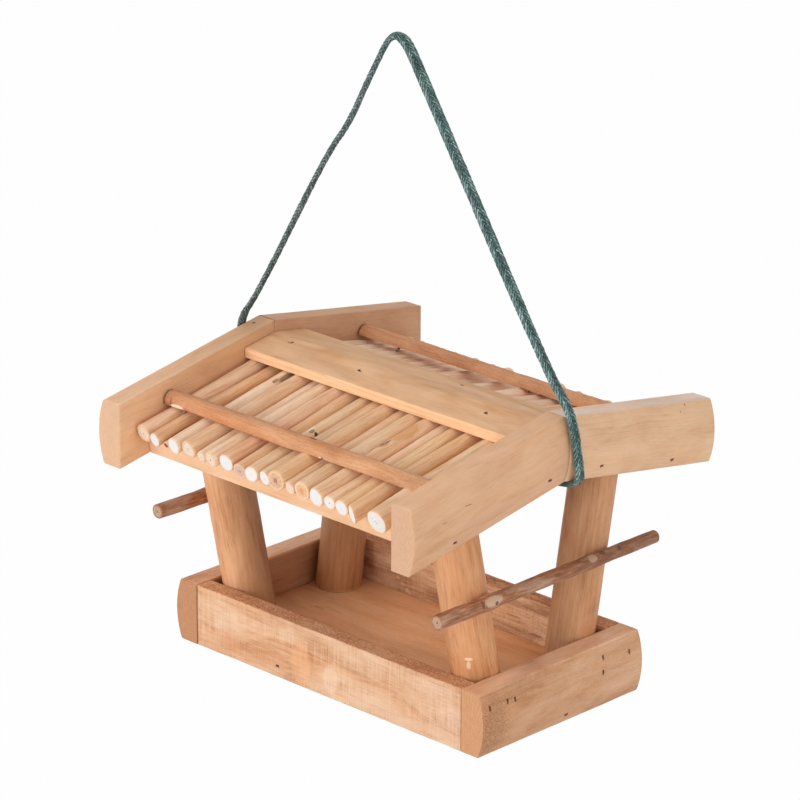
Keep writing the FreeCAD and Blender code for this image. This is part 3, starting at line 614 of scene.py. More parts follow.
# Places along the loop, as shares of its length, with the width's direction
HANGING_WIDTHS = [
    (0.00, (0, 1, 0)), (0.17, (0.1, 1, 0.06)), (0.20, (0.25, 0.93, 0.16)), (0.30, FACING),
    (0.493, FACING), (0.508, EDGEWISE), (0.58, EDGEWISE), (0.61, (-0.30, 0.93, 0.24)),
    (0.65, EDGEWISE), (0.70, EDGEWISE), (0.74, (-0.35, 0.9, 0.2)), (0.80, EDGEWISE),
    (0.86, EDGEWISE), (0.90, (-0.1, 1, 0.1)), (1.00, (0, 1, 0)),
]
# The braid is painted darker and greyer beyond the middle of this length: painted shade on the
# cord's left stretch.
CORD_SHADE_LENGTH = 581.0
# The knot's half width, half height and depth, the drawn-up cord in it, and how far it reaches
KNOT_SIZE, KNOT_CORD, KNOT_REACH = (3.7, 3.5, 2.4), (4.4, 3.0), 3.0


def spline_points(name, route):
    """Points along the smooth NURBS line that a route's points control, in millimetres."""
    curve = bpy.data.curves.new(name, "CURVE")
    curve.dimensions = "3D"
    curve.resolution_u = 40
    spline = curve.splines.new("NURBS")
    spline.points.add(len(route) - 1)
    for point, position in zip(spline.points, route):
        point.co = (*(c * MM for c in position), 1.0)
    spline.order_u = 3
    spline.use_endpoint_u = True
    holder = link(bpy.data.objects.new(name, curve))
    bpy.context.view_layer.update()
    line = bpy.data.meshes.new_from_object(holder)
    points = np.array([tuple(v.co) for v in line.vertices]) / MM
    bpy.data.objects.remove(holder)
    bpy.data.meshes.remove(line)
    return points


def lengths_along(points):
    return np.concatenate([[0], np.cumsum(np.linalg.norm(np.diff(points, axis=0), axis=1))])


def evenly(points, step):
    """The same line in steps of equal length, with the distance along it."""
    lengths = lengths_along(points)
    distance = np.linspace(0, lengths[-1], max(2, int(round(lengths[-1] / step))) + 1)
    return np.stack([np.interp(distance, lengths, points[:, k]) for k in range(3)], 1), distance


def braid(name, line, distance, widths, width=CORD_WIDTH, thickness=CORD_THICKNESS, around=60):
    """Flat braid along a line: strands run from both edges to a crooked seam in each face."""
    tangents = np.gradient(line, axis=0)
    tangents /= np.linalg.norm(tangents, axis=1)[:, None]
    stops = np.array([w[0] for w in widths]) * distance[-1]
    hints = np.array([w[1] for w in widths], float)
    across = np.stack([np.interp(distance, stops, hints[:, k]) for k in range(3)], 1)
    across -= tangents * (across * tangents).sum(1)[:, None]
    across /= np.linalg.norm(across, axis=1)[:, None]
    normal = np.cross(tangents, across)
    turns = (np.arange(around) + 0.5) * 2 * math.pi / around
    side, top = np.cos(turns)[None, :], np.sin(turns)[None, :]
    face, far = np.sign(top), distance[:, None]
    along = far / BRAID_PITCH
    along = along + 0.12 * np.sin(far * 0.31) + 0.10 * np.sin(far * 0.83 + 2)
    seam = side + 0.13 * np.sin(2 * math.pi * along) * (1 - np.abs(side))
    out, right = np.abs(seam), seam > 0
    phase = along + BRAID_LEAN * out + np.where(right == (face > 0), 0.5, 0.0)
    strand = np.floor(phase)
    crest = np.sqrt(np.clip(1 - (2 * (phase - strand) - 1) ** 2, 0, 1))
    kinds = 4093
    kind = (strand * 4 + right * 2 + (face > 0)).astype(int) % kinds
    rng = seeded(name)
    rise, shade = rng.uniform(-1, 1, kinds)[kind], rng.uniform(0, 1, kinds)[kind]
    dip = np.exp(-(out / 0.14) ** 2)
    lift = 0.60 * crest - 0.30 * dip + 0.12 * rise - 0.45
    push = np.stack([side * 0.8, top], 2)
    push = push / np.linalg.norm(push, axis=2)[:, :, None]
    u = np.sign(side) * np.abs(side) ** 0.85 * (width / 2 - 0.1) + push[:, :, 0] * lift
    v = top * (thickness / 2 - 0.02) + push[:, :, 1] * lift
    rings = line[:, None, :] + across[:, None, :] * u[:, :, None] \
        + normal[:, None, :] * v[:, :, None]
    points, faces, _ = loft(list(rings))
    obj = make_object(name, points, faces, [CORD_BRAID])
    # Crest, less the seam's dip, lightens the strands' tops and darkens their grooves: painted
    # highlight and shade.
    add_values(obj, "crest", np.clip(crest - 0.5 * dip, 0, 1))
    add_values(obj, "shade", shade)
    lane = np.stack([far + 0 * out, out * width / 2, face + 3.0 * right], 2)
    add_values(obj, "lane", lane, "FLOAT_VECTOR")
    return obj


def cord_material():
    """Blue-green filaments, laid along each strand, with painted highlights on the strands' crests
    and glints and painted shade in their grooves and seams.
    """
    s = Shading("cord_braid")
    lane = s.attribute("lane", "Vector")
    along, out, side = s.add("ShaderNodeSeparateXYZ", {0: lane}).outputs
    slant = s.total(along, (out, 2 * BRAID_LEAN * BRAID_PITCH / CORD_WIDTH))
    run = s.total(out, (along, -1.84))

    def threads(across, lengthwise):
        return s.add("ShaderNodeCombineXYZ", {
            0: s.times(slant, across), 1: s.times(run, lengthwise), 2: side}).outputs[0]
    filament = s.noise(threads(2.6, 0.18), 1.0, 3.0, 0.75)
    # Painted glints: light strokes along the strands.
    glint = s.rise(s.noise(threads(0.8, 0.22), 1.0, 2.0, 0.6), 0.45, 0.68)
    patch = s.noise(lane, (0.12, 0.3, 1.0), 2.0)
    amount = s.total(-0.14, (s.centred(filament), 1.0), (s.attribute("crest"), 0.62),
                     (s.attribute("shade"), 0.26), (glint, 0.34), (s.centred(patch), 0.35))
    colour = s.ramp(amount, (0.06, (8, 20, 22)), (0.34, (34, 62, 61)), (0.64, (84, 120, 116)),
                    (1.0, (178, 202, 199)))
    # Painted shade: the far half of the cord darker and greyer.
    worn = s.rise(s.math("DIVIDE", along, CORD_SHADE_LENGTH), 0.49, 0.54)
    colour = s.mix(worn, colour, (0.76, 0.66, 0.70), "MULTIPLY")
    s.set("Sheen Weight", 0.1)
    return s.finish(colour, 0.5, 0.45, s.total(filament, (glint, 0.3)), 0.35, 0.9)


CORD_BRAID = cord_material()


def hanging_cord():
    line, distance = evenly(spline_points("hanging_line", HANGING_ROUTE), 0.38)
    cord = braid("hanging_cord_braid", line, distance, HANGING_WIDTHS)
    place(cord, "hanging_cord", "hanger")


def knot():
    """Overhand turns drawn up tight."""
    turns = np.linspace(0, 2 * math.pi, 240, endpoint=False)
    heading = unit(np.array([CORD_OUT, CORD_SKEW, 0.0]))
    aside = np.array([-heading[1], heading[0], 0])
    a = (np.sin(turns) + 2 * np.sin(2 * turns)) / 3 * KNOT_SIZE[0]
    b = (np.cos(turns) - 2 * np.cos(2 * turns)) / 3 * KNOT_SIZE[1]
    c = -np.sin(3 * turns) * KNOT_SIZE[2]
    line = CORD_MIDDLE + a[:, None] * aside + b[:, None] * (0, 0, 1.0) + c[:, None] * heading
    line = np.concatenate([line, line[:1]])
    widths = [(0, heading), (1, heading)]
    obj = braid("knot_turns", line, lengths_along(line), widths, *KNOT_CORD, 32)
    return place(obj, "cord_knot")


def inner_cord(name, side):
    end = np.array([side * ROOF_END, side * CORD_TURN_Y, CORD_HEIGHT])
    inner = CORD_MIDDLE + unit(end - CORD_MIDDLE) * KNOT_REACH
    line, distance = evenly(spline_points("inner_line", [end, (end + inner) / 2, inner]), 0.45)
    cord = braid(name, line, distance, [(0, (0, 1, 0)), (1, (0, 1, 0))])
    place(cord, "cord_under_roof")


hanging_cord()
tied_knot = knot()
inner_cord("inner_cord_right", 1)
inner_cord("inner_cord_left", -1)


# Brads: where each one sits, read from the CAD solids

def brad_places():
    """The middle, axis and width direction of each brad's head."""
    places = []
    for node in ("brad_nails", "batten_brads"):
        for points in islands(SOLIDS[node]):
            spread = points - points.mean(0)
            axis = np.linalg.svd(spread, full_matrices=False)[2][0]
            along = spread @ axis
            ends = spread[along > along.max() - 0.5], spread[along < along.min() + 0.5]
            if np.ptp(ends[0], axis=0).max() < np.ptp(ends[1], axis=0).max():
                axis, along = -axis, -along
            head = points[along > along.max() - 0.3]
            wide = np.eye(3)[np.argmax(np.ptp(head, axis=0))]
            places.append((middle_of(head), axis, unit(wide - axis * (wide @ axis))))
    return places


BRADS = brad_places()
# The pocket over a brad's head, and its rings: height over the head's middle, and growth
POCKET = [(-1.45, -0.75), (-0.5, -0.85), (0.6, -0.8), (1.5, -0.7), (1.6, 0.1), (1.4, 0.8),
          (0.3, 0.85), (-0.7, 0.8), (-1.5, 0.7), (-1.6, 0.0)]
POCKET_RINGS = ((-1.1, 0.92), (0.45, 1.0), (0.75, 1.15), (2.6, 1.3))
# Painted shade inside a pocket: below this depth, within this reach, and its share of light
DARK_BELOW, DARK_REACH, DARK_SHARE = 0.8, 2.5, 0.3


def orient(obj):
    """Faces point outwards."""
    obj.data.calc_loop_triangles()
    corners = vertices(obj)[np.array([tuple(t.vertices) for t in obj.data.loop_triangles])]
    if (corners[:, 0] * np.cross(corners[:, 1], corners[:, 2])).sum() < 0:
        obj.data.flip_normals()


def pocket(middle, axis, wide):
    """Ragged cutter over a brad's head."""
    rng = np.random.default_rng(int(abs(middle @ np.array([13, 7, 3])) * 10))
    across = np.cross(axis, wide)
    outline = [(u + rng.uniform(-0.12, 0.12), v + rng.uniform(-0.1, 0.1)) for u, v in POCKET]
    points, faces, _ = loft([np.array([middle + axis * height + wide * u * grow + across * v * grow
                                       for u, v in outline]) for height, grow in POCKET_RINGS])
    cutter = make_object("pocket", points, faces, [])
    orient(cutter)
    return cutter


def cut_pockets(obj):
    """Opens the surface over each brad that meets this piece."""
    places = vertices(obj)
    low, high = places.min(0) - 0.4, places.max(0) + 0.4
    cutters = [pocket(*brad) for brad in BRADS
               if np.all(brad[0] + brad[1] * 0.6 > low) and np.all(brad[0] + brad[1] * 0.6 < high)]
    if not cutters:
        return
    for cutter in cutters:
        modifier = obj.modifiers.new("pocket", "BOOLEAN")
        modifier.operation = "DIFFERENCE"
        modifier.solver = "EXACT"
        modifier.object = cutter
    bpy.context.view_layer.update()
    shown = obj.evaluated_get(bpy.context.evaluated_depsgraph_get())
    old, obj.data = obj.data, bpy.data.meshes.new_from_object(shown)
    obj.modifiers.clear()
    for mesh in [old] + [cutter.data for cutter in cutters]:
        bpy.data.meshes.remove(mesh)


# Boards

def rounded(corners, step=1.7):
    """Outline with each corner (u, v, radius) rounded and long sides divided."""
    points = []
    for k, (u, v, radius) in enumerate(corners):
        here = np.array([u, v], float)
        before = np.array(corners[k - 1][:2], float) - here
        after = np.array(corners[(k + 1) % len(corners)][:2], float) - here
        reach = min(radius, 0.45 * np.linalg.norm(before), 0.45 * np.linalg.norm(after))
        if reach < 0.01:
            points.append(here)
            continue
        first, last = here + unit(before) * reach, here + unit(after) * reach
        for t in (0.0, 0.25, 0.5, 0.75, 1.0):
            points.append((1 - t) ** 2 * first + 2 * t * (1 - t) * here + t * t * last)
    divided = []
    for a, b in zip(points, points[1:] + points[:1]):
        parts = max(1, int(np.linalg.norm(b - a) / step))
        divided += [a + (b - a) * t / parts for t in range(parts)]
    return np.array(divided)


def slab_outline():
    """Half-round slab, flat side at u = 0."""
    rise, half = SLAB_CROWN - SLAB_EDGE, SLAB_WIDTH / 2
    radius = (half ** 2 + rise ** 2) / (2 * rise)
    crown = [(SLAB_CROWN - radius + math.sqrt(radius ** 2 - (v - half) ** 2), v, 0.0)
             for v in np.linspace(0, SLAB_WIDTH, 16)[1:-1]]
    return rounded([(0, 0, 0.5), (SLAB_EDGE, 0, SLAB_ROUND), *crown,
                    (SLAB_EDGE, SLAB_WIDTH, SLAB_ROUND), (0, SLAB_WIDTH, 0.5)])


def box_outline(u, v, radius):
    return rounded([(0, 0, radius), (u, 0, radius), (u, v, radius), (0, v, radius)])


def board(name, outline, start, end, put, material, rough, wobble, end_material=BOARD_END,
          step=2.4, ease=0.4):
    """Board through an outline swept from start to end; put turns (s, u, v) into a place."""
    seed = seeded(name).uniform(0, 500)
    edges = np.roll(outline, -1, 0) - np.roll(outline, 1, 0)
    outward = np.stack([edges[:, 1], -edges[:, 0]], 1)
    outward /= np.linalg.norm(outward, axis=1)[:, None]
    if ((outline - outline.mean(0)) * outward).sum() < 0:
        outward = -outward
    inside = np.linspace(start, end, max(4, int(abs(end - start) / step)) + 1)[1:-1]
    stations = [start, start + ease, *inside, end - ease, end]
    u, v = outline.T
    rings = []
    for k, s in enumerate(stations):
        inset = ease * 0.8 if k in (0, len(stations) - 1) else 0.0
        move = rough * lumps(s, u, v, 0.11, 0.3, seed) - rough \
            + wobble * (lumps(s, u, v, 0.018, 0.03, seed, 1) - 0.5) * 0.5
        ring = outline + outward * (move - inset)[:, None]
        rings.append(np.array([put(s, *point) for point in ring]))
    points, faces, slots = loft(rings)
    return make_object(name, points, faces, [material, end_material], slots)


def wooden(obj, node, along, across, pith, tint=1.0, pockets=True):
    """Finishes a board: pockets over its brads with painted shade inside, then grain, tint and
    node.
    """
    def tint_with_pocket_shade(places):
        tints = tints_at(tint, places)
        # Painted shade deep in each pocket.
        for middle, axis, _ in BRADS:
            offset = places - middle
            near = np.linalg.norm(offset, axis=1) < DARK_REACH
            tints[(offset @ axis < -DARK_BELOW) & near] *= DARK_SHARE
        return tints

    orient(obj)
    if pockets:
        cut_pockets(obj)
    finish_wood(obj, along, across, pith, tint_with_pocket_shade)
    place(obj, node)


def wall_tint(places):
    """Redder sawn upper edges, paler inner faces as painted light in the tray's shaded inside, and
    paler back faces.
    """
    tints = fade(places[:, 0], (20, 90), (1, 1, 1), (1, 1.04, 1.12))
    top = places[:, 2] > SLAB_WIDTH - 0.5
    tints[top] = (1.04, 0.89, 0.77)
    # Painted light on the inner faces.
    tints[(np.abs(places[:, 1]) < TRAY_WIDTH / 2 - WALL + 0.5) & ~top] = (1.05, 1.16, 1.22)
    tints[(places[:, 1] > TRAY_WIDTH / 2 - 0.5) & ~top] = (1.08, 1.12, 1.16)
    return tints


def end_board_tint(places):
    # Paler toward the back; painted light on the tops, painted shade on the inner faces, and darker
    # front end faces, the left one more.
    share = np.clip((places[:, 1] + TRAY_WIDTH / 2) / TRAY_WIDTH, 0, 1)[:, None]
    tints = np.array([0.94, 0.87, 0.82]) * (1 - share) + np.array([1.08, 1.11, 1.16]) * share
    top = places[:, 2] > SLAB_WIDTH - 1.0
    # Painted light on the top.
    tints[top] *= (1.22, 1.30, 1.42)
    # Painted shade on the inner faces.
    tints[(np.abs(places[:, 0]) < TRAY_END + 0.5) & ~top] *= (0.68, 0.62, 0.58)
    end = places[:, 1] < -TRAY_WIDTH / 2 + 0.3
    tints[end & (places[:, 0] < 0)] = (0.74, 0.63, 0.55)
    tints[end & (places[:, 0] > 0)] = (0.88, 0.78, 0.68)
    return tints


def floor_tint(places):
    # Painted shade: the floor darker toward both end boards.
    shades = np.interp(places[:, 0], [-100, -70, -20, 30, 80], [0.76, 0.91, 1.10, 1.06, 0.80])
    return shades[:, None]


def wall(name, side, material):
    obj = board(name + "_board", box_outline(WALL, SLAB_WIDTH, 0.8), -TRAY_REACH, TRAY_REACH,
                lambda s, u, v: (s, side * (TRAY_WIDTH / 2 - u), v), material, 0.12, 0.4)
    wooden(obj, name, (1, 0, 0), (0, 0, 1), (70, 30), wall_tint)


def end_board(name, side):
    obj = board(name + "_slab", slab_outline(), -TRAY_WIDTH / 2, TRAY_WIDTH / 2,
                lambda s, u, v: (side * (TRAY_END + u), s, v), END_BOARD_WOOD, 0.07, 0.3)
    wooden(obj, name, (0, 1, 0), (0, 0, 1), (55, -60), end_board_tint)


def floor():
    section = box_outline(TRAY_WIDTH - 2 * WALL - 2 * JOINT_LINE, FLOOR, 0.4)
    obj = board("floor_panel_board", section, -TRAY_REACH, TRAY_REACH,
                lambda s, u, v: (s, u - TRAY_WIDTH / 2 + WALL + JOINT_LINE, v), FLOOR_WOOD,
                0.05, 0.2, step=3.0)
    wooden(obj, "floor_panel", (1, 0, 0), (0, 1, 0), (20, -90), floor_tint)


def bargeboard(name, side_x, side_y, face, top, ridge_shade=False):
    """Half-round gable board, with one tint for its face and one for its upper edge, both painted
    light and shade.
    """
    def put(s, u, v):
        height = RIDGE - s * SLOPE - (SLAB_WIDTH - v) * STRETCH
        return side_x * (ROOF_END + u), side_y * s, height

    def tint(places):
        tints = np.tile(face, (len(places), 1))
        tints[places[:, 2] > RIDGE - np.abs(places[:, 1]) * SLOPE - 0.7] *= top
        if ridge_shade:
            # Painted shade, darker toward the ridge.
            tints *= fade(np.abs(places[:, 1]), (10, 100), (0.79, 0.75, 0.70), (1.02, 1.02, 1.02))
        return tints

    obj = board(name + "_bargeboard_slab", slab_outline(), 0.1, HALF_SPAN, put, BARGE_WOOD,
                0.05, 0.25, PALE_BOARD_END, ease=0.2)
    wooden(obj, name + "_bargeboard",
           (0, side_y * math.cos(PITCH), -math.sin(PITCH)), (1, 0, 0), (side_x * 60, 190), tint)


def rail(name, side_y, start):
    obj = board(name + "_lath", box_outline(RAIL_WIDTH, RAIL_THICKNESS, 0.7), -ROOF_REACH,
                ROOF_REACH, lambda s, u, v: on_panel(side_y, start + u, v, s), RAIL_WOOD,
                0.06, 0.15)
    wooden(obj, name, (1, 0, 0), (0, -side_y * UP_SLOPE[1], UP_SLOPE[2]),
           (side_y * -60, 180))


def ridge_cap():
    under = STICK_SEAT + CAP_ROOM
    edge_low, peak_low = (on_panel(-1, panel_up(distance, under), under, 0)[2]
                          for distance in (CAP_HALF, 0))
    edge_top = edge_low + CAP_EDGE
    section = rounded([(-CAP_HALF, edge_low, 0.5), (0, peak_low, 1.0), (CAP_HALF, edge_low, 0.5),
                       (CAP_HALF, edge_top, 1.0), (0, edge_top + CAP_HALF * SLOPE, 2.5),
                       (-CAP_HALF, edge_top, 1.0)])

    def tint(places):
        # Painted light on the cap's front edge.
        return np.where(places[:, 1:2] < -CAP_HALF + 0.4, (1.20, 1.28, 1.34), 1.0)

    obj = board("ridge_cap_board", section, -ROOF_REACH, ROOF_REACH, lambda s, u, v: (s, u, v),
                CAP_WOOD, 0.05, 0.2)
    wooden(obj, "ridge_cap", (1, 0, 0), (0, 1, 0), (10, -120), tint)


wall("front_wall", -1, WALL_WOOD)
wall("back_wall", 1, BACK_WALL_WOOD)
end_board("left_end_board", -1)
end_board("right_end_board", 1)
floor()
# Face and upper-edge tints even out each board's brightness as painted light and shade; the back
# right upper edge gets a strong painted light.
bargeboard("front_left", -1, -1, (1.16, 1.14, 1.08), (0.94, 0.98, 1.06), ridge_shade=True)
bargeboard("front_right", 1, -1, (1.07, 1.03, 1.0), (0.98, 1.0, 1.02))
bargeboard("back_left", -1, 1, (0.88, 0.83, 0.80), (1.0, 1.0, 1.0))
bargeboard("back_right", 1, 1, (1.13, 1.17, 1.18), (1.02, 1.20, 1.56))
rail("front_eave_rail", -1, 0.0)
rail("back_eave_rail", 1, 0.0)
rail("front_ridge_rail", -1, panel_up(14.0, RAIL_THICKNESS / 2) - RAIL_WIDTH / 2)
rail("back_ridge_rail", 1, panel_up(21.0, RAIL_THICKNESS / 2) - RAIL_WIDTH / 2)
ridge_cap()


# Round wood

# Shares of the radius of the rings that close a rod's ends
CLOSING = (0.12, 0.4, 0.7, 0.9)


def rod_ends(points):
    """Centres and radii of both ends of a straight rod's solid."""
    centre = points.mean(0)
    along = (points - centre) @ np.linalg.svd(points - centre, full_matrices=False)[2][0]
    ends = []
    for picked in (along < along.min() + 0.05, along > along.max() - 0.05):
        ring = points[picked]
        radius = np.linalg.norm(ring - ring.mean(0), axis=1).max()
        ends.append((ring.mean(0) if len(ring) > 8 else middle_of(ring), radius))
    return ends


def round_wood(obj, node, low, axis, across, depth, tint):
    """Finishes a rod whose pith runs from low along axis."""
    orient(obj)
    finish_wood(obj, axis, across, (low @ across, low @ depth), tint)
    place(obj, node)


def branch(name, low, high, radii, spread, materials, bumps, lumpy, bend, ease, step,
           slant=(0, 0), swing=0.0):
    """Natural rod between two points: radius follows radii, noise and bumps (along, size, rise).

    Spread is the half width at both ends along x, slant leans the first end's cut, and swing
    carries the first end aside."""
    rng = seeded(name)
    seed = rng.uniform(0, 500)
    axis = high - low
    length = np.linalg.norm(axis)
    axis = axis / length
    other = unit(X_AXIS - axis * (X_AXIS @ axis))
    side = np.cross(axis, other)
    cosines, sines = circle(32)
    inside = np.linspace(0, length, int(length / step) + 1)[1:-1]
    stations = [0, ease, *inside, length - ease, length]
    bend_a, bend_b = rng.uniform(-bend, bend, 2)

    def ring(s, shrink, dome=0.0):
        t = s / length
        radius = radii[0] + (radii[1] - radii[0]) * t
        half = spread[0] + (spread[1] - spread[0]) * t
        scale = 1 + lumpy * (lumps(s, cosines, sines, 0.05, 1.1, seed) - 0.25) \
            + lumpy * 0.2 * lumps(s, cosines, sines, 0.4, 3, seed)
        for position, size, rise in bumps:
            scale = scale + rise * math.exp(-((s - position) / size) ** 2)
        scale = scale * shrink - (ease * 0.6 / radius if s in (0, length) and shrink == 1 else 0)
        middle = low + axis * s + side * bend_a * math.sin(math.pi * t) \
            + other * (bend_b * math.sin(math.pi * t) + swing * (1 - t) ** 3)
        reach = (cosines * scale * half)[:, None] * other + (sines * scale * radius)[:, None] * side
        lean = max(0.0, 1 - s / 8.0) ** 2
        slide = (cosines * slant[0] * half + sines * slant[1] * radius) * scale * lean + dome
        return middle + reach + slide[:, None] * axis

    rings = [ring(0, shrink, 0.10 * perlin(cosines * shrink * 4, sines * shrink * 4, seed)
                  - 0.12 * (1 - shrink)) for shrink in CLOSING]
    rings += [ring(s, 1) for s in stations]
    rings += [ring(length, shrink) for shrink in CLOSING[::-1]]
    points, faces, slots = loft(rings, len(CLOSING))
    obj = make_object(name, points, faces, materials, slots)
    rims = [*CLOSING, *[1.0] * len(stations), *CLOSING[::-1]]
    add_values(obj, "rim", np.repeat(rims, len(cosines)))
    return obj


STICK_TINTS = {
    "pink": (1.10, 1.10, 1.18), "cream": (1.12, 1.20, 1.32), "pale": (1.04, 1.10, 1.20),
    "tan": (1.0, 0.98, 0.99), "gold": (0.98, 0.90, 0.82), "straw": (1.06, 1.07, 1.0),
    "rose": (1.05, 0.99, 1.04), "plain": (1.03, 1.06, 1.08),
}
FRONT_LOOKS = """pink gold cream cream tan cream cream rose gold plain plain gold tan plain tan pink
                 straw gold tan plain plain""".split()
FRONT_ENDS = """cream cool hollow cool cream cream dotted cool pink white cool tan dotted orange
                cool white cool white white grey cream""".split()
BACK_LOOKS = """plain cream pink plain pale tan pink pale pink cream pink pale cream pink tan pale
                plain tan pale pink""".split()
# Sticks whose eave end is out of line: (aside, further out, thicker, slant)
CROOKED = {
    "front_stick_02": (2.0, 0.6, 0.3, (-0.1, 0)), "front_stick_03": (-0.6, 0, 0.2, (0, 0.2)),
    "front_stick_16": (-0.9, 0.4, 0.1, (0.1, 0)), "front_stick_17": (0.6, 0.3, 0, (0, 0)),
    "front_stick_18": (4.4, 3.4, 0.5, (-0.45, 0)), "front_stick_19": (4.4, -5.0, 0, (0, 0)),
    "front_stick_20": (3.8, 3.6, 0.2, (0, 0.1)), "front_stick_21": (2.9, 0, 0, (0, 0)),
}


def stick(name, node, points, look, end, shade, far_share):
    """One stick of a panel, from the eave up; far_share gives its upper half width."""
    (low, butt), (high, tip) = sorted(rod_ends(points), key=lambda e: -abs(e[0][1]))
    rng = seeded(name)
    # Shade is a tint; for the back sticks it carries painted light.
    tint = np.array(STICK_TINTS[look]) * rng.uniform(0.98, 1.04) * shade
    aside, further, thicker, slant = CROOKED.get(name, (0, 0, 0, None))
    slant = slant or tuple(rng.uniform(-0.14, 0.14, 2))
    axis = unit(high - low)
    low = low - axis * further + np.array([0, 0, thicker])
    bumps = [(rng.uniform(20, 90), rng.uniform(2, 4), rng.uniform(0.01, 0.035))]
    obj = branch(name + "_peeled", low, high, (butt + thicker, tip),
                 (butt + thicker, far_share(butt, tip)), [STICK_WOOD, STICK_ENDS[end]], bumps,
                 0.05, 0.25, 0.4, 1.9, slant, aside)
    depth = np.cross(axis, unit(X_AXIS - axis * (X_AXIS @ axis)))
    round_wood(obj, node, low, axis, X_AXIS, depth, tint)


def sticks(prefix):
    """Sticks of a panel from left to right, in the nodes' order."""
    nodes = sorted(n for n in SOLIDS if n.startswith(prefix))
    solids = [(node, points) for node in nodes
              for points in sorted(islands(SOLIDS[node]), key=lambda p: p[:, 0].mean())]
    for index, (node, points) in enumerate(solids):
        name = "%s_%02d" % (prefix, index + 1)
        if prefix == "front_stick":
            shade = (1.02, 1.07, 1.10) if index > 10 else (0.98, 1.02, 1.06)
            stick(name, node, points, FRONT_LOOKS[index], FRONT_ENDS[index], shade,
                  lambda butt, tip: max(tip, butt * 0.97))
        else:
            # Painted light: the back sticks paler and cooler against the shade they lie in.
            stick(name, node, points, BACK_LOOKS[index], ("white", "cool", "cream")[index % 3],
                  (1.05, 1.13, 1.24), lambda butt, tip: tip * 0.95)


def post(name, plain, near, far):
    """Leaning post, cut level at its foot and to the panel's slope at its head.

    Its tint, painted light and shade, runs from near to far across the camera's view, times plain."""
    points = vertices(SOLIDS[name])
    foot = points[points[:, 2] < FLOOR + 0.05]
    side_y = np.sign(foot[:, 1].mean())
    plane = np.array([0, side_y * UP_SLOPE[2], UP_SLOPE[1]])
    out = (points - (0, side_y * EAVE_REACH, EAVE_CORNER[2])) @ plane
    low, high = middle_of(foot), middle_of(points[out > out.max() - 0.05])
    axis = unit(high - low)
    radius = np.ptp(foot[:, 0]) / 2 * math.cos(math.atan2(axis[0], axis[2]))
    side = unit(np.cross([0, 1.0, 0], axis))
    other = np.cross(axis, side)
    cosines, sines = circle(56)
    seed = seeded(name).uniform(0, 500)
    rings = []
    for t in (0, 0.004, *np.linspace(0, 1, 60)[1:-1], 0.996, 1):
        scale = 0.997 + 0.012 * lumps(t, cosines, sines, 4, 0.9, seed) \
            + 0.004 * lumps(t, cosines, sines, 12, 5, seed)
        if t in (0, 1):
            scale = scale - 0.022
        reach = (cosines[:, None] * side + sines[:, None] * other) * (radius * scale)[:, None]
        at_foot, at_head = -reach[:, 2] / axis[2], -(reach @ plane) / (axis @ plane)
        slide = at_foot * (1 - t) + at_head * t
        rings.append(low + (high - low) * t + reach + slide[:, None] * axis)
    shape, faces, slots = loft(rings, 1)
    obj = make_object(name + "_peeled", shape, faces, [POST_WOOD, BOARD_END], slots)

    def tint(places):
        # Painted light and shade across the post.
        aside = (places - low - ((places - low) @ axis)[:, None] * axis) @ (0.71, 0.70, 0.0)
        return (near + (far - near) * (aside / radius + 1) / 2)[:, None] * plain

    round_wood(obj, name, low, axis, side, np.cross(axis, side), tint)


def batten(name, side_y):
    points = vertices(SOLIDS[name])
    flipped = np.stack([points[:, 0], -np.abs(points[:, 1]), points[:, 2]], 1) - EAVE_CORNER
    centre_up, seat = middle_of(flipped @ UP_SLOPE), (flipped @ OUT_OF_SLOPE).min()
    start, end = points[:, 0].min(), points[:, 0].max()
    sweep = math.asin(BATTEN_BELOW / BATTEN_RADIUS)
    turns = np.linspace(-sweep, math.pi + sweep, 22)
    section = rounded([(BATTEN_RADIUS * math.cos(turn),
                        BATTEN_BELOW + BATTEN_RADIUS * math.sin(turn),
                        0.5 if turn in (turns[0], turns[-1]) else 0.0) for turn in turns], 1.3)

    def put(s, u, v):
        t = (s - start) / (end - start)
        thin = 1 - 0.22 * t * t if side_y < 0 and u < 0 else 1 - 0.10 * (1 - t) ** 2
        wave = 0.35 * math.sin(s * 0.052 + side_y) + 0.2 * math.sin(s * 0.13)
        return on_panel(side_y, centre_up + u * thin + wave, seat + v * (0.5 + 0.5 * thin), s)

    def tint(places):
        tints = np.tile((1.02, 1.03, 1.04) if side_y < 0 else (1.09, 1.10, 1.15), (len(places), 1))
        if side_y < 0:
            tints *= fade(places[:, 0], (-80, 80), (0.97, 0.92, 0.90), (1.05, 1.14, 1.22))
        # Painted shade at both ends, where the batten meets the gable boards.
        tints[(places[:, 0] < start + 0.9) | (places[:, 0] > end - 0.9)] *= 0.35
        return tints

    obj = board(name + "_rod", section, start, end, put, BATTEN_WOOD, 0.16, 0.7, step=1.8, ease=0.5)
    # The back batten's brads stand aslant, so that cutters there would leave slivers.
    wooden(obj, name, (1, 0, 0), (0, -side_y * UP_SLOPE[1], UP_SLOPE[2]), (3, 160),
           tint, pockets=side_y < 0)


def perch(name, dark_end):
    (low, butt), (high, tip) = sorted(rod_ends(vertices(SOLIDS[name])),
                                      key=lambda e: e[0][1])
    obj = branch(name + "_bark", low, high, (butt, tip), (butt, tip), [PERCH_BARK, PERCH_END],
                 [(41, 5.0, 0.09), (125, 4.5, 0.10), (86, 5.0, 0.04)], 0.06, 0.5, 0.5, 1.6)
    axis = unit(high - low)

    def tint(places):
        return np.interp(places[:, 1], [0, 30], [1.0, dark_end])[:, None] * (1.0, 0.95, 0.87)

    round_wood(obj, name, low, axis, X_AXIS, np.cross(axis, X_AXIS), tint)


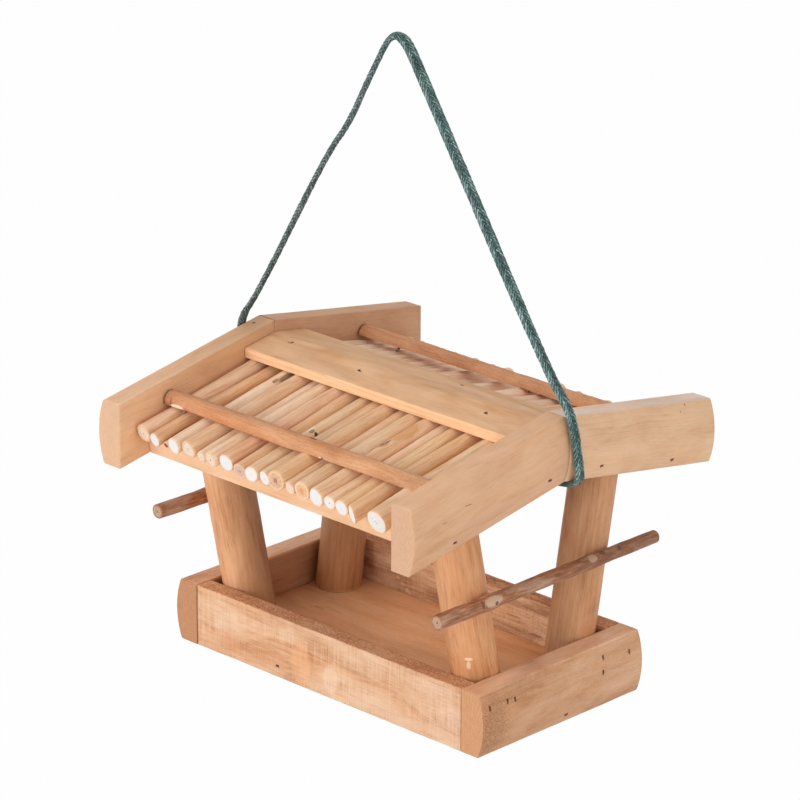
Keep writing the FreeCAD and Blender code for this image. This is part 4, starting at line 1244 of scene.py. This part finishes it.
def perch_bark():
    """Thin grey-brown bark with paler worn places and cut knots."""
    s = Shading("perch_bark")
    grain = s.attribute("grain", "Vector")
    streak = s.noise(grain, (0.10, 0.8, 0.8), 5.0, 0.7)
    worn = s.rise(s.noise(grain, (0.05, 0.16, 0.16), 3.0, 0.5, 0.3), 0.50, 0.62, 0.0, 0.85)
    skin = s.ramp(streak, (0.28, (112, 68, 44)), (0.5, (162, 108, 76)), (0.72, (206, 152, 116)))
    bare = s.ramp(streak, (0.3, (160, 126, 108)), (0.7, (208, 170, 146)))
    colour, height = s.marks([
        ((115.6, -49, 88.2), (4, 8, 3.4), (216, 186, 164), 0.85, -0.3),
        ((115.9, -47.3, 86.4), (3, 1.5, 1.3), (84, 56, 42), 0.85, -0.8),
        ((115.5, -57.6, 88.4), (3, 1.4, 3), (120, 84, 64), 0.85, -0.4),
        ((113.9, 33, 89.4), (4, 3.6, 2.2), (220, 188, 162), 0.85, 0.3),
        ((114.2, 42, 90.5), (4, 3, 1.6), (130, 88, 64), 0.85, -0.3),
        ((114.5, 55.3, 89.4), (3, 1.3, 1), (112, 76, 56), 0.85, -0.4),
    ], s.mix(worn, skin, bare), streak)
    return s.finish(s.tinted(colour), s.rise(streak, 0.3, 0.7, 0.5, 0.7), 0.4, height, 0.5, 0.7)


PERCH_BARK = perch_bark()
sticks("front_stick")
sticks("back_sticks")
# Painted light and shade across each post; the back left post is painted darker as shade in its
# corner.
post("front_left_post", (0.99, 1.03, 1.10), 1.17, 0.64)
post("back_left_post", (0.70, 0.67, 0.64), 1.0, 1.0)
post("front_right_post", (0.99, 0.96, 0.93), 0.88, 1.13)
post("back_right_post", (0.90, 0.91, 0.93), 0.82, 1.15)
batten("front_batten", -1)
batten("back_batten", 1)
perch("right_perch", 0.75)
perch("left_perch", 1.0)


def brads(node, name, dark, light):
    """Gives a node of brads its steel, with darker and lighter scale."""
    s = Shading(name)
    scale = s.noise(s.add("ShaderNodeTexCoord").outputs["Object"], 900.0)
    s.set("Metallic", 0.25)
    steel = SOLIDS[node]
    steel.data.materials.clear()
    steel.data.materials.append(s.finish(s.ramp(scale, (0.35, dark), (0.7, light)),
                                         s.rise(scale, 0.3, 0.7, 0.45, 0.7), 0.5, scale, 0.1, 0.5))


brads("brad_nails", "brad_steel", (66, 50, 41), (120, 99, 84))
# The batten's brads are painted paler: painted light against the shade under the batten.
brads("batten_brads", "batten_brad_steel", (112, 92, 80), (182, 162, 146))


# Stage and light

SHEET_HALF, SHEET_HEIGHT = 6000.0, -260
LAMP_AIM = Vector((0, 0, 110))


def backdrop():
    """Ground sheet that the camera sees as nearly pure white."""
    s = Shading("white_floor")
    fleck = s.noise(s.add("ShaderNodeTexCoord").outputs["Object"], 40.0, 2.0)
    s.set("Base Color", s.rise(fleck, 0.3, 0.7, 0.86, 0.88))
    s.set("Roughness", 0.9)
    glow = s.add("ShaderNodeEmission", {"Color": (1, 1, 1, 1), "Strength": 1.0})
    blend = s.add("ShaderNodeMixShader", {
        0: s.times(s.seen(), 0.97), 1: s.shader.outputs[0], 2: glow.outputs[0]})
    s.put(s.output.inputs[0], blend.outputs[0])
    points = [(x * SHEET_HALF, y * SHEET_HALF, SHEET_HEIGHT)
              for x, y in ((-1, -1), (1, -1), (1, 1), (-1, 1))]
    make_object("floor_sheet", points, [(0, 1, 2, 3)], [s.material], smooth=False)


def lamp(name, spot, size, power):
    """Rectangular lamp that aims at the table."""
    data = bpy.data.lights.new(name, "AREA")
    data.shape = "RECTANGLE"
    data.size, data.size_y = size
    data.energy = power
    obj = link(bpy.data.objects.new(name, data))
    obj.location = Vector(spot) * MM
    toward = (LAMP_AIM - Vector(spot)).normalized()
    obj.rotation_euler = toward.to_track_quat("-Z", "Y").to_euler()


def world():
    """Soft warm light all round, seen as pure white."""
    studio = bpy.data.worlds.new("studio")
    nodes = Nodes(studio)
    soft, white = (nodes.add("ShaderNodeBackground", {0: colour, 1: strength}).outputs[0]
                   for colour, strength in (((1.0, 0.985, 0.97, 1), 0.64), ((1, 1, 1, 1), 1.0)))
    blend = nodes.add("ShaderNodeMixShader", {0: nodes.seen(), 1: soft, 2: white})
    nodes.add("ShaderNodeOutputWorld", {0: blend.outputs[0]})
    bpy.context.scene.world = studio


backdrop()
world()
lamp("key", (-400, -2350, 800), (1.8, 1.3), 33.0)
lamp("fill", (2300, -700, 750), (1.5, 1.5), 10.0)

scene = bpy.context.scene
scene.view_settings.view_transform = "Standard"
